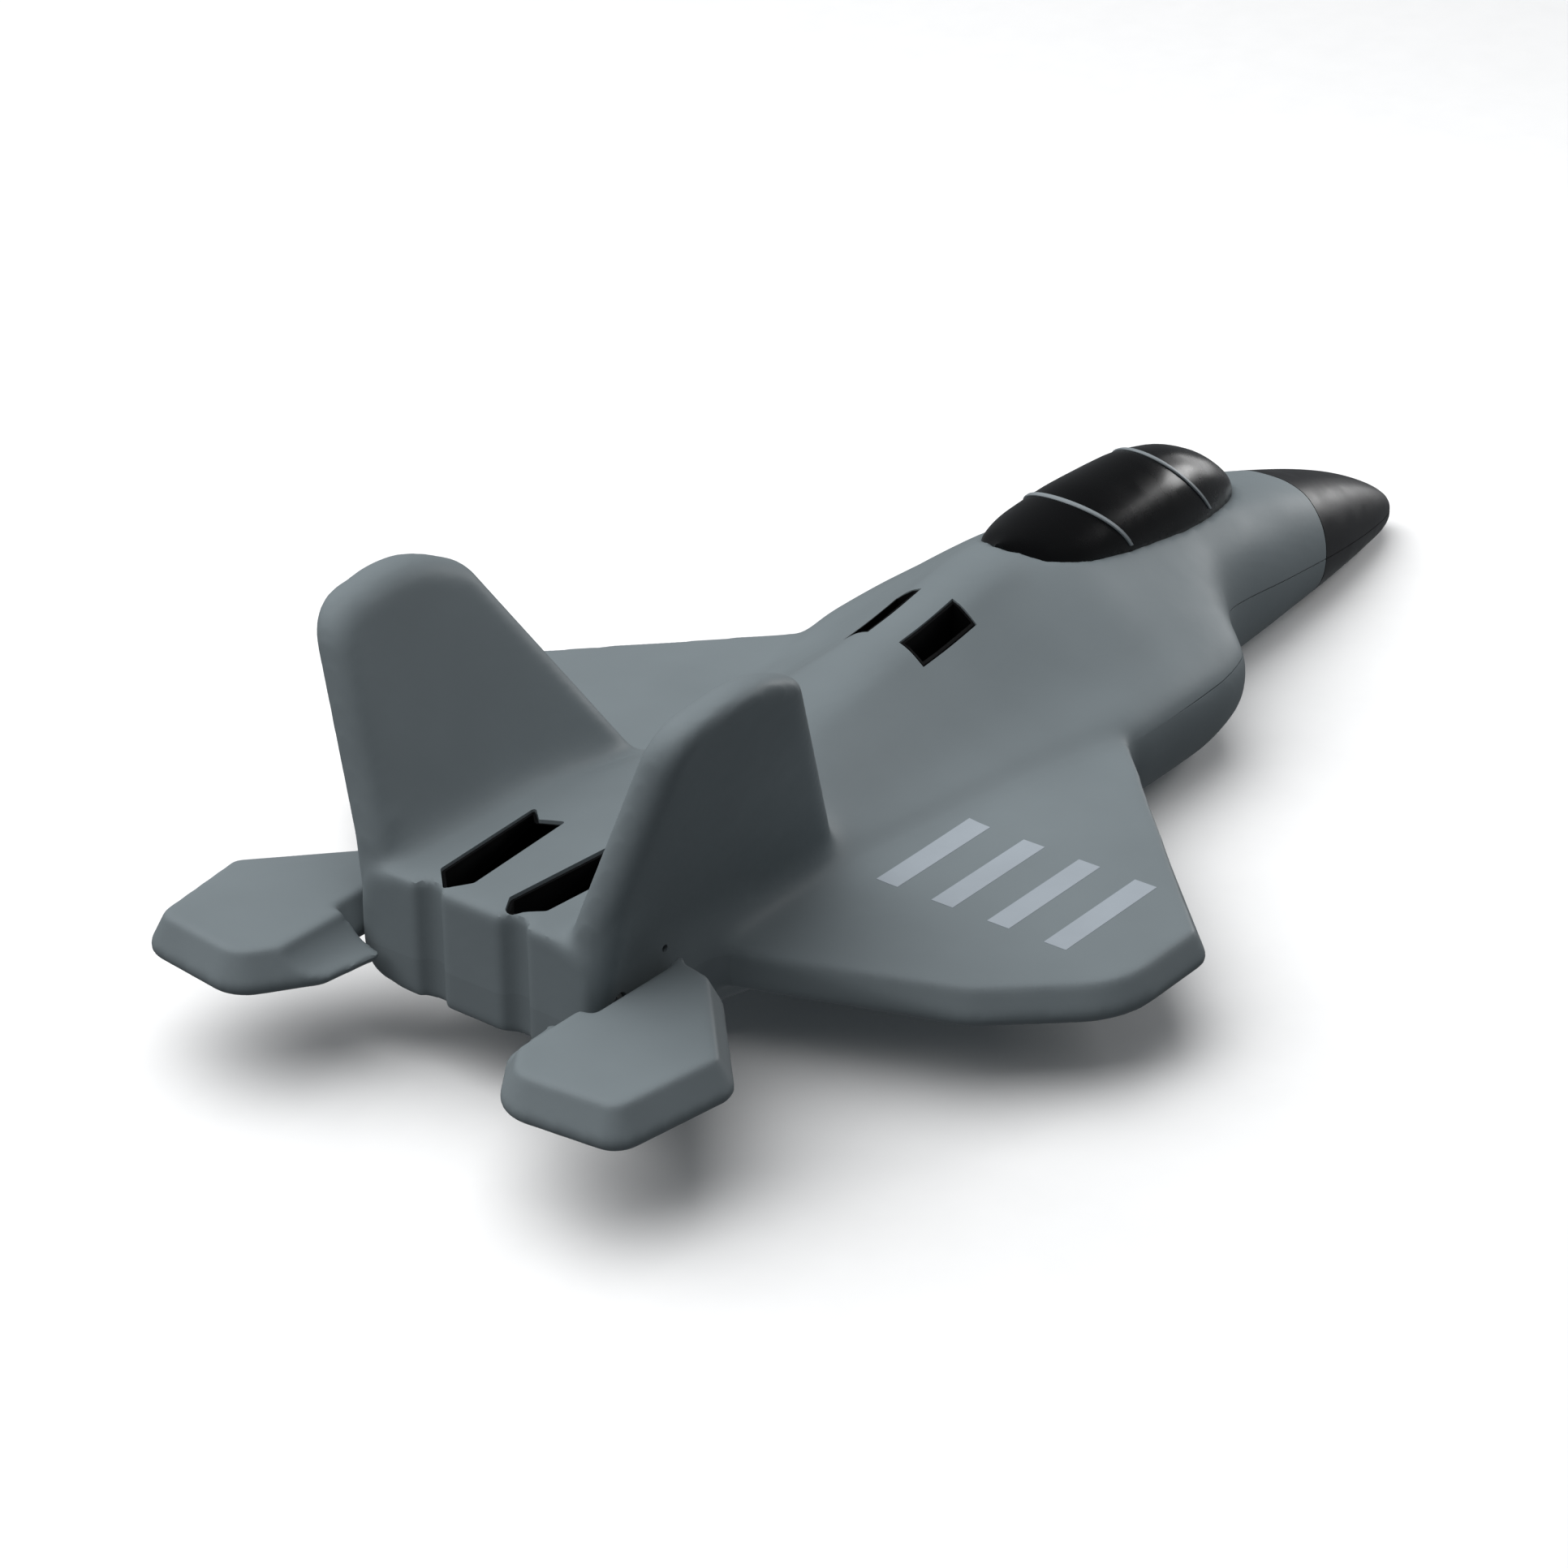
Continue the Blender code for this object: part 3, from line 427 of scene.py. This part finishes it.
class Skin:
    """A mesh's points as an array, for smoothing by moving each point towards its neighbours."""

    def __init__(self, piece):
        self.mesh = piece.data
        count = len(self.mesh.vertices)
        flat = np.empty(count * 3, np.float32)
        self.mesh.vertices.foreach_get("co", flat)
        self.points = flat.reshape(-1, 3).astype(float)
        pairs = np.empty(len(self.mesh.edges) * 2, np.int32)
        self.mesh.edges.foreach_get("vertices", pairs)
        self.ends = np.concatenate([pairs[0::2], pairs[1::2]])
        self.others = np.concatenate([pairs[1::2], pairs[0::2]])
        self.degree = np.bincount(self.ends, minlength=count)

    def pull(self):
        """From each point to the middle of its neighbours."""
        middle = np.empty_like(self.points)
        for axis in range(3):
            near = self.points[self.others, axis]
            middle[:, axis] = np.bincount(self.ends, near, len(self.points)) / self.degree
        return middle - self.points

    def smooth(self, rounds):
        """Smooths with little shrinking."""
        for _ in range(rounds):
            self.points += 0.5 * self.pull()
            self.points -= 0.53 * self.pull()

    def soften(self, rounds):
        for _ in range(rounds):
            self.points += 0.5 * self.pull()

    def fill(self, rounds):
        """Fills inside corners and leaves outside ones as they are."""
        for turn in range(rounds):
            if turn % 10 == 0:
                self.write()
                flat = np.empty(len(self.points) * 3, np.float32)
                self.mesh.vertex_normals.foreach_get("vector", flat)
                outward = flat.reshape(-1, 3).astype(float)
            rise = np.clip((self.pull() * outward).sum(1), 0, None)
            self.points += 0.5 * rise[:, None] * outward

    def write(self):
        self.mesh.vertices.foreach_set("co", self.points.astype(np.float32).ravel())
        self.mesh.update()


def finish(piece, slot, body="airframe", nodes=(), angle=35.0, paint=None):
    """Paints a piece, in its slot's paint unless another is given, and gives it to its body."""
    piece.data.materials.clear()
    piece.data.materials.append(paint or paint_of(slot))
    piece.data.shade_smooth()
    piece.data.set_sharp_from_angle(angle=math.radians(angle))
    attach(piece, body)
    if nodes:
        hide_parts(*nodes)
    return piece


# ---------------------------------------------------------------- outlines and sections
def curve_through(stations, values, x):
    """Smooth value at x between table rows, without overshoot."""
    xs, ys = np.asarray(stations, float), np.asarray(values, float)
    step, rise = np.diff(xs), np.diff(ys)
    slope = rise / step
    grade = np.zeros(len(xs))
    for i in range(1, len(xs) - 1):
        if slope[i - 1] * slope[i] > 0:
            wa, wb = 2 * step[i] + step[i - 1], step[i] + 2 * step[i - 1]
            grade[i] = (wa + wb) / (wa / slope[i - 1] + wb / slope[i])
    grade[0], grade[-1] = slope[0], slope[-1]
    k = int(np.clip(np.searchsorted(xs, x) - 1, 0, len(step) - 1))
    t = (x - xs[k]) / step[k]
    keep = (1 + 2 * t) * (1 - t) ** 2 * ys[k] + t * t * (3 - 2 * t) * ys[k + 1]
    lean = t * (1 - t) ** 2 * grade[k] - t * t * (1 - t) * grade[k + 1]
    return float(keep + lean * step[k])


def rounded(outline, radii, steps=8):
    done = []
    count = len(outline)
    for i, corner in enumerate(outline):
        here = Vector(corner)
        back = (Vector(outline[i - 1]) - here).normalized()
        ahead = (Vector(outline[(i + 1) % count]) - here).normalized()
        if radii[i] <= 0:
            done.append(tuple(here))
            continue
        half = back.angle(ahead) / 2
        reach = radii[i] / math.tan(half)
        centre = here + (back + ahead).normalized() * radii[i] / math.sin(half)
        first, last = here + back * reach - centre, here + ahead * reach - centre
        for k in range(steps + 1):
            done.append(tuple(centre + first.lerp(last, k / steps).normalized() * radii[i]))
    return done


def section_ring(x, grow=0.0, parts=6):
    """Closed ring round the fuselage at a station."""
    stations = [row[0] for row in SECTIONS]
    wide = [curve_through(stations, [row[1][k] for row in SECTIONS], x) for k in range(7)]
    tall = [curve_through(stations, [row[2][k] for row in SECTIONS], x) for k in range(7)]
    knots = list(zip(wide, tall)) + [(0.0, curve_through(stations, [r[3] for r in SECTIONS], x))]
    ghost = [(-knots[1][0], knots[1][1])] + knots + [(-knots[-2][0], knots[-2][1])]
    line = []
    for i in range(1, len(knots)):
        a, b, c, d = (Vector(p) for p in ghost[i - 1:i + 3])
        for k in range(parts):
            t = k / parts
            line.append(0.5 * (2 * b + (c - a) * t + (2 * a - 5 * b + 4 * c - d) * t ** 2
                               + (3 * b - a - 3 * c + d) * t ** 3))
    line.append(Vector(knots[-1]))
    top, low = line[0][1], line[-1][1]
    middle, height = (top + low) / 2, (top - low) / 2
    width = max(p[0] for p in line)
    ky, kz = (width + grow) / width, (height + grow) / height
    port = [(x, max(0.0, p[0]) * ky, middle + (p[1] - middle) * kz) for p in line]
    return port + [(px, -py, pz) for px, py, pz in reversed(port[1:-1])]


def form(name, first, last, grow=0.0, pitch=2.5, parts=6):
    count = max(2, round((last - first) / pitch) + 1)
    return loft(name, [section_ring(x, grow, parts) for x in np.linspace(first, last, count)])


def drawn_in(outline, amount):
    """The outline moved inwards, point by point."""
    count = len(outline)
    pairs = [(outline[i], outline[(i + 1) % count]) for i in range(count)]
    turn = math.copysign(1.0, sum(a[0] * b[1] - b[0] * a[1] for a, b in pairs))
    done = []
    for i, (x, y) in enumerate(outline):
        along = (Vector(outline[(i + 1) % count]) - Vector(outline[i - 1])).normalized()
        done.append((x - turn * along.y * amount, y + turn * along.x * amount))
    return done


def plate(name, outline, low, high, draft, foot=1.4):
    """Foam plate over an outline in plan; its sides lean in towards the top."""
    levels = ((low, foot), (low + foot, 0.0), (low + 2 * foot, 0.0), (high, draft))
    return loft(name, [[(x, y, z) for x, y in drawn_in(outline, inset)] for z, inset in levels])


def rounded_edges(piece, edge, segments=5):
    bevel = piece.modifiers.new("rounded_edges", "BEVEL")
    bevel.width = edge * MM
    bevel.segments = segments
    bevel.limit_method = "ANGLE"
    bevel.angle_limit = math.radians(50)
    return settle(piece)


# ---------------------------------------------------------------- the foam moulding
def fin_blank(side, s):
    foot_y, foot_z = FIN_FOOT
    outline = rounded(FIN_OUTLINE, FIN_CORNERS)
    rings = []
    for half in (-0.5, 0.5):
        rings.append([(x, s * (foot_y + (z - foot_z) * FIN_CANT) + half * FIN_THICK, z)
                      for x, z in outline])
    return rounded_edges(loft(f"fin_blank_{side}", rings), FIN_EDGE)


def moulding():
    """Fuselage, wings and fins grown together, with filled roots."""
    blanks = [form("body_blank", TAIL_END, NOSE_JOINT + 14.0)]
    for side, s in SIDES:
        outline = [(x, s * y) for x, y in rounded(WING_OUTLINE, WING_CORNERS)]
        blanks.append(plate(f"wing_blank_{side}", outline, WING_TOP - WING_THICK, WING_TOP, 2.4))
        blanks.append(fin_blank(side, s))
        foot, head = [(x, s * y, z) for x, y, z in COLUMN_ENDS]
        blanks.append(round_bar(f"fin_column_{side}", foot, head, COLUMN_RADIUS))
    piece = remesh(merge("moulding", blanks), VOXEL)
    skin = Skin(piece)
    skin.smooth(6)
    skin.fill(110)
    skin.write()
    groove_x = TAIL_END - 0.8
    carve(piece, canopy_seat(),
          *[round_bar("groove", (groove_x, s * GROOVE_Y, -5.0), (groove_x, s * GROOVE_Y, 60.0),
                      GROOVE_RADIUS) for _, s in SIDES])
    remesh(piece, VOXEL)
    skin = Skin(piece)
    skin.smooth(4)
    skin.soften(2)
    skin.write()
    return piece


def falling_seam(x):
    """Height of the parting line ahead of SEAM_BREAK, where it falls towards the nose."""
    drop = (SEAM_NOSE_Z - SEAM_Z) / (NOSE_JOINT - SEAM_BREAK)
    return SEAM_Z + drop * (x - SEAM_BREAK)


def seam_block(name, above):
    """All above or below the parting line. The halves part visibly from the canopy forward."""
    shut, open_ = 0.0, GAP / 2
    line = [(-20.0, SEAM_Z, shut), (196.0, SEAM_Z, shut), (208.0, SEAM_Z, open_),
            (SEAM_BREAK, SEAM_Z, open_), (330.0, falling_seam(330.0), open_)]
    rings = []
    for x, z, part in line:
        low, high = (z + part, 120.0) if above else (-40.0, z - part)
        rings.append([(x, -110, low), (x, 110, low), (x, 110, high), (x, -110, high)])
    return loft(name, rings)


def root_block(side, s):
    """Everything outboard of the wing's root, kept low so that it takes nothing of the fins."""
    outline = [(50.0, s * 29.8), (205.0, s * 44.2), (205.0, s * 120.0), (50.0, s * 120.0)]
    return prism(f"root_{side}", outline, -20.0, WING_PART_Z)


def fin_block(side, s):
    y0, y1 = sorted((s * 8.0, s * 80.0))
    return box(f"fin_region_{side}", (0.0, y0, FIN_PART_Z), (116.0, y1, 120.0))


def mirrored_box(name, s, low, high):
    """A box given for the port side, on side s."""
    y0, y1 = sorted((s * low[1], s * high[1]))
    return box(name, (low[0], y0, low[2]), (high[0], y1, high[2]))


def bay_tools():
    """The hollow inside both shells, with its linkage channels, bush holes and nose socket."""
    tools = [form("bay", 52.0, 283.0, grow=-WALL),
             round_bar("spigot_socket", (SPIGOT_X - 1.5, 0, SPIGOT_Z), (302.0, 0, SPIGOT_Z),
                       SPIGOT_RADIUS + GAP)]
    for _, s in SIDES:
        tools.append(mirrored_box("channel", s, *CHANNEL))
        tools.append(round_bar("bush_hole", (PIVOT_X, s * 18.0, PIVOT_Z),
                               (PIVOT_X, s * 36.0, PIVOT_Z), BUSH_RADIUS + GAP))
    return tools


def slot_outline(s, shrink=0.0):
    outline = drawn_in(rounded(SLOT_OUTLINE, SLOT_CORNERS, 4), shrink)
    return [(x, s * y) for x, y in outline]


def deck_openings(shell):
    """Canopy hatch, magnet pocket, exhaust slots, inlets and pin holes, in the upper shell."""
    tools = [box("hatch", (HATCH_X[0], -HATCH_HALF, HATCH_LOW_Z), (HATCH_X[1], HATCH_HALF, 70.0)),
             round_bar("magnet_pocket", (MAGNET_X, 0, MAGNET_SEAT_Z), (MAGNET_X, 0, 50.0),
                       MAGNET_RADIUS + GAP)]
    for _, s in SIDES:
        tools += [prism("slot", slot_outline(s), SLOT_LOW_Z, 60.0),
                  mirrored_box("vent", s, (VENT_X[0], VENT_Y[0], VENT_LOW_Z),
                               (VENT_X[1], VENT_Y[1], 70.0))]
        outer, inner = [(PIN_HOLE_X, s * y, PIN_HOLE_Z) for y in PIN_HOLE_Y]
        tools.append(round_bar("pin_hole", outer, inner, PIN_HOLE_RADIUS, 16))
    carve(shell, *tools)


def wing_bars(skin):
    """Plain painted bars that lie on the starboard wing's skin."""
    for i, start in enumerate(BAR_STARTS):
        rings = []
        for x in np.linspace(*BAR_X, 16):
            top = []
            for y in np.linspace(start, start - BAR_WIDTH, 6):
                _, place, _, _ = skin.ray_cast(spot(x, y, 60.0), (0.0, 0.0, -1.0))
                top.append((x, y, place[2] / MM + 0.05))
            rings.append(top + [(px, py, pz - 0.6) for px, py, pz in reversed(top)])
        finish(loft(f"wing_bar_{i}", rings), "frame_grey", paint=BAR_PAINT)


def foam_pieces():
    """Parts the moulding into wings, fins, upper shell and belly, as the CAD names them."""
    whole = moulding()
    wing_bars(whole)
    carve(whole, box("nose_end", (NOSE_JOINT - GAP, -60, -20), (340, 60, 80)))
    for side, s in SIDES:
        wing = carve(copy_of(whole, f"wing_panel_{side}"), root_block(side, s),
                     operation="INTERSECT")
        carve(wing, round_bar("spar_hole", (SPAR_X, 0, SPAR_Z), (SPAR_X, s * SPAR_TIP, SPAR_Z),
                              SPAR_HOLE_RADIUS))
        finish(main_shell(wing), "foam", nodes=[f"wing_{side}"])
        fin = carve(copy_of(whole, f"tail_fin_{side}"), fin_block(side, s),
                    operation="INTERSECT")
        finish(main_shell(fin), "foam", nodes=[f"fin_{side}"])
        carve(whole, root_block(side, s), fin_block(side, s))
    carve(whole, *bay_tools())
    upper = carve(copy_of(whole, "fuselage_top"), seam_block("above", True), operation="INTERSECT")
    deck_openings(upper)
    finish(main_shell(upper), "foam", nodes=["fuselage_upper_shell"])
    lower = carve(whole, seam_block("below", False), operation="INTERSECT")
    carve(lower, box("belly_plane", (BELLY_FLAT_X[0], -60.0, -20.0), (BELLY_FLAT_X[1], 60.0, 0.0)))
    carve(lower, box("switch_pocket", *SWITCH_POCKET),
          round_bar("spar_hole", (SPAR_X, -60.0, SPAR_Z), (SPAR_X, 60.0, SPAR_Z),
                    SPAR_HOLE_RADIUS))
    lower.name = "fuselage_belly"
    finish(main_shell(lower), "foam_belly", nodes=["fuselage_lower_shell"])


# ---------------------------------------------------------------- canopy and nose cone
def canopy_row(x):
    stations = [row[0] for row in CANOPY]
    return [curve_through(stations, [row[k] for row in CANOPY], x) for k in (1, 2, 3)]


def canopy_arch(x, inset=0.0, skirt=9.0, steps=24):
    half, sill, crown = canopy_row(x)
    half, crown = max(0.2, half - inset), max(sill + 0.2, crown - inset)
    points = [(x, half, sill - skirt)]
    for k in range(steps + 1):
        turn = math.pi * k / (2 * steps)
        points.append((x, half * math.cos(turn), sill + (crown - sill) * math.sin(turn)))
    return points + [(px, -py, pz) for px, py, pz in reversed(points[:-1])]


def canopy_stations(first=CANOPY[0][0], last=CANOPY[-1][0], pitch=1.5):
    even = np.linspace(0.0, math.pi, max(8, round((last - first) / pitch)))
    return (first + last) / 2 - np.cos(even) * (last - first) / 2


def canopy_seat():
    """The tool that cuts the shallow seat that the canopy's edge drops into."""
    tool = loft("seat", [canopy_arch(x, -0.55, 12.0, 6) for x in canopy_stations(pitch=4.0)])
    return carve(tool, form("seat_floor", 150.0, 300.0, grow=-1.2))


def canopy():
    glass = loft("canopy_glass", [canopy_arch(x) for x in canopy_stations()])
    inside = [canopy_arch(x, 1.3, 20.0, 12) for x in np.linspace(200.0, 272.0, 24)]
    carve(glass, loft("inside", inside), form("seat_floor", 150.0, 300.0, grow=-0.8))
    finish(glass, "canopy_gloss", "canopy", ["canopy"], angle=40)
    canopy_band("canopy_band_rear", 223.0, 8.0, "canopy_frame_rear")
    canopy_band("canopy_band_front", 256.5, 12.5, "canopy_frame_front")


def canopy_band(name, foot_x, lean, node, steps=64):
    """Narrow raised band over the canopy, leaning back from its foot to its crown."""
    rings = []
    for k in range(steps + 1):
        turn = (math.pi + 0.12) * k / steps - 0.06
        rise = math.sin(turn)
        ring = []
        for edge, lift in BAND_PROFILE:
            x = foot_x - lean * rise + edge
            half, sill, crown = canopy_row(x)
            foot = sill + BAND_FOOT
            ring.append((x, (half + lift) * math.cos(turn), foot + (crown - foot + lift) * rise))
        rings.append(ring)
    finish(loft(name, rings), "frame_grey", "canopy", [node])


def nose_cone():
    """Black cone with its spigot and a fine mould line that carries on the parting line."""
    even = np.linspace(NOSE_JOINT, LENGTH - 10.0, 30)
    tip = LENGTH - np.geomspace(9.0, 0.12, 12)
    cone = loft("nose_tip", [section_ring(x) for x in np.concatenate([even, tip])])
    spigot = round_bar("spigot", (SPIGOT_X, 0, SPIGOT_Z), (300.0, 0, SPIGOT_Z), SPIGOT_RADIUS)
    carve(cone, spigot, operation="UNION")
    line = [(x, falling_seam(x)) for x in (292.0, 352.0)]
    groove = loft("mould_line", [[(x, -30, z - 0.1), (x, 30, z - 0.1), (x, 30, z + 0.1),
                                  (x, -30, z + 0.1)] for x, z in line])
    carve(groove, form("groove_floor", 291.0, 346.0, grow=-0.2))
    carve(groove, box("spigot_clear", (280.0, -40.0, 0.0), (NOSE_JOINT + 0.1, 40.0, 40.0)))
    carve(cone, groove)
    finish(cone, "cone_black", nodes=["nose_cone"])


# ---------------------------------------------------------------- stabilators and tail ducts
def stabilators():
    for side, s in SIDES:
        outline = [(x, s * y) for x, y in rounded(STAB_OUTLINE, STAB_CORNERS)]
        blank = plate(f"tailplane_{side}", outline, *STAB_FACES, 3.0)
        carve(blank, round_bar("scoop", (-10.0, s * SCOOP_Y, SCOOP_Z), (29.2, s * SCOOP_Y, SCOOP_Z),
                               SCOOP_RADIUS, 48))
        remesh(blank, STAB_VOXEL)
        skin = Skin(blank)
        skin.smooth(8)
        skin.soften(3)
        skin.write()
        carve(blank, round_bar("rod_bore", (PIVOT_X, s * 20.0, PIVOT_Z),
                               (PIVOT_X, s * 50.5, PIVOT_Z), ROD_RADIUS + GAP))
        finish(main_shell(blank), "foam", f"stabilator_{side}", [f"stabilator_{side}"])


def tail_liners():
    """Black ducts standing in the slots of the tail deck."""
    for side, s in SIDES:
        duct = prism(f"exhaust_duct_{side}", slot_outline(s, 0.25), 24.0, 39.2)
        carve(duct, prism("duct_bore", slot_outline(s, 0.8), 24.8, 60.0),
              box("open_front", (51.5, -40.0, 20.0), (90.0, 40.0, 31.0)))
        finish(duct, "black_plastic", nodes=[f"exhaust_liner_{side}"])


# ---------------------------------------------------------------- what the bay holds
def stations_of(node):
    """Lowest and highest corner of a CAD node, in stations."""
    return [tuple(c / MM + shift for c, shift in zip(corner, (LENGTH / 2, 0.0, 0.0)))
            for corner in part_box(node)]


def slab(name, low, high, edge=0.2, segments=2):
    return rounded_edges(box(name, low, high), edge, segments)


def battery_pack():
    (x0, y0, z0), (x1, y1, z1) = stations_of("battery")
    finish(slab("battery_cell", (x0, y0, z0), (x1, y1, z1), 1.7, 5), "battery_wrap",
           nodes=["battery"])
    for tag, start in (("rear", x0 + 1.2), ("front", x1 - 5.2)):
        tape = slab(f"cell_tape_{tag}", (start, y0 - 0.12, z0 - 0.12),
                    (start + 4.0, y1 + 0.12, z1 + 0.12), 1.75, 5)
        carve(tape, slab("tape_inside", (start - 1, y0 + 0.1, z0 + 0.1),
                         (start + 5, y1 - 0.1, z1 - 0.1), 0.3))
        finish(tape, "battery_wrap", paint=AMBER_PAINT)


def battery_belt():
    (x0, y0, z0), (x1, y1, z1) = stations_of("battery_strap")
    loop = rounded([(y0, z0), (y1, z0), (y1, z1), (y0, z1)], (1.6, 1.6, 2.4, 2.4))
    outer = loft("strap_loop", [[(x, y, z) for y, z in loop] for x in (x0, x1)])
    inner = [(y, z) for y, z in drawn_in(loop, 0.9)]
    carve(outer, loft("strap_inside", [[(x, y, z) for y, z in inner] for x in (x0 - 2, x1 + 2)]))
    finish(rounded_edges(outer, 0.25, 2), "strap_fabric", nodes=["battery_strap"])
    tongue = slab("strap_tongue", (x0 + 0.3, y0 + 5.0, z1 + 0.02), (x1 - 0.3, y1 - 3.0, z1 + 0.85),
                  0.35)
    finish(tongue, "strap_fabric")


def receiver():
    (x0, y0, z0), (x1, y1, _) = stations_of("receiver_board")
    top = z0 + 1.2
    finish(slab("circuit_board", (x0, y0, z0), (x1, y1, top)), "board_green",
           nodes=["receiver_board"])
    finish(slab("chip", (x0 + 8, -3, top + 0.1), (x0 + 14, 3, top + 1.3)), "black_plastic")
    finish(slab("header", (x0 + 1, -7, top + 0.05), (x0 + 4, 7, top + 2.2)), "black_plastic")
    for k in range(7):
        y = -2.4 + 0.8 * k
        for tag, edge in (("a", x0 + 7.4), ("b", x0 + 13.8)):
            finish(slab(f"chip_leg_{tag}{k}", (edge, y - 0.18, top + 0.02),
                        (edge + 0.8, y + 0.18, top + 0.4), 0.06, 1), "steel")
    for k in range(5):
        finish(slab(f"header_pin_{k}", (x0 + 2.2, -5.4 + 2.7 * k, top + 1.0),
                    (x0 + 2.8, -4.8 + 2.7 * k, top + 4.2), 0.12, 1), "steel")
    for k, (x, y) in enumerate(((x0 + 16.5, -5.5), (x0 + 16.5, 0.0), (x0 + 16.5, 5.5))):
        finish(slab(f"small_part_{k}", (x, y - 1.2, top + 0.05), (x + 1.6, y + 1.2, top + 0.9)),
               "plywood", paint=AMBER_PAINT)


# ---------------------------------------------------------------- finish of the other nodes
def paint_frame():
    """Every CAD node takes the finish of its slot; the replaced ones aren't shown."""
    for row in frame["record"]["subparts"]:
        piece = frame["nodes"][row["node"]]
        piece.data.materials.clear()
        piece.data.materials.append(paint_of(row["material_slot"]))


# ---------------------------------------------------------------- camera, light, floor
def stage_set():
    floor_mesh = bpy.data.meshes.new("floor")
    reach = 6.0
    floor_mesh.from_pydata([(-reach, -reach, 0), (reach, -reach, 0), (reach, reach, 0),
                            (-reach, reach, 0)], [], [(0, 1, 2, 3)])
    floor = bpy.data.objects.new("floor", floor_mesh)
    bpy.context.scene.collection.objects.link(floor)
    floor_mesh.materials.append(plastic("floor_paper", (0.86, 0.86, 0.86), 0.9, 0.01))
    floor.visible_diffuse = False
    floor.visible_glossy = False


def lamp(name, place, aim, size, power, glossy=True, diffuse=True):
    light = bpy.data.lights.new(name, "AREA")
    light.shape = "RECTANGLE"
    light.size, light.size_y = size
    light.energy = power
    made = bpy.data.objects.new(name, light)
    made.location = place
    made.rotation_euler = (Vector(aim) - Vector(place)).to_track_quat("-Z", "Y").to_euler()
    made.visible_glossy = glossy
    made.visible_diffuse = diffuse
    bpy.context.scene.collection.objects.link(made)


def lighting():
    lamp("overhead", (-0.3, 0.42, 1.25), (0, 0, 0.03), (2.2, 2.2), 39.5, glossy=False)
    lamp("nose_box", (1.2, 0.05, 0.2), (0.12, 0, 0.02), (0.4, 0.4), 1.4, diffuse=False)
    lamp("canopy_box", (1.03, -0.26, 0.32), (0.08, 0, 0.05), (0.34, 0.26), 2.6, diffuse=False)
    lamp("nose_fill", (0.30, -0.16, 0.20), (0.13, 0, 0.04), (0.12, 0.12), 0.30, glossy=False)
    world = bpy.data.worlds.new("studio")
    bpy.context.scene.world = world
    world.use_nodes = True
    sky = world.node_tree.nodes["Background"]
    sky.inputs["Color"].default_value = (0.9, 0.95, 1.0, 1.0)
    sky.inputs["Strength"].default_value = 0.17


def camera():
    """Where a camera fitted to the photo's outline stands, in metres and radians."""
    lens = bpy.data.cameras.new("camera")
    lens.sensor_width = 36.0
    lens.lens = 101.83
    lens.clip_start, lens.clip_end = 0.01, 20.0
    made = bpy.data.objects.new("camera", lens)
    made.location = (-0.65892, -0.48119, 0.43550)
    made.rotation_euler = (1.08380, 0.00578, -0.90287)
    bpy.context.scene.collection.objects.link(made)
    bpy.context.scene.camera = made


# ---------------------------------------------------------------- the whole scene
foam_pieces()
canopy()
nose_cone()
stabilators()
tail_liners()
battery_pack()
battery_belt()
receiver()
paint_frame()
stage_set()
lighting()
camera()
bpy.context.scene.view_settings.view_transform = "Standard"
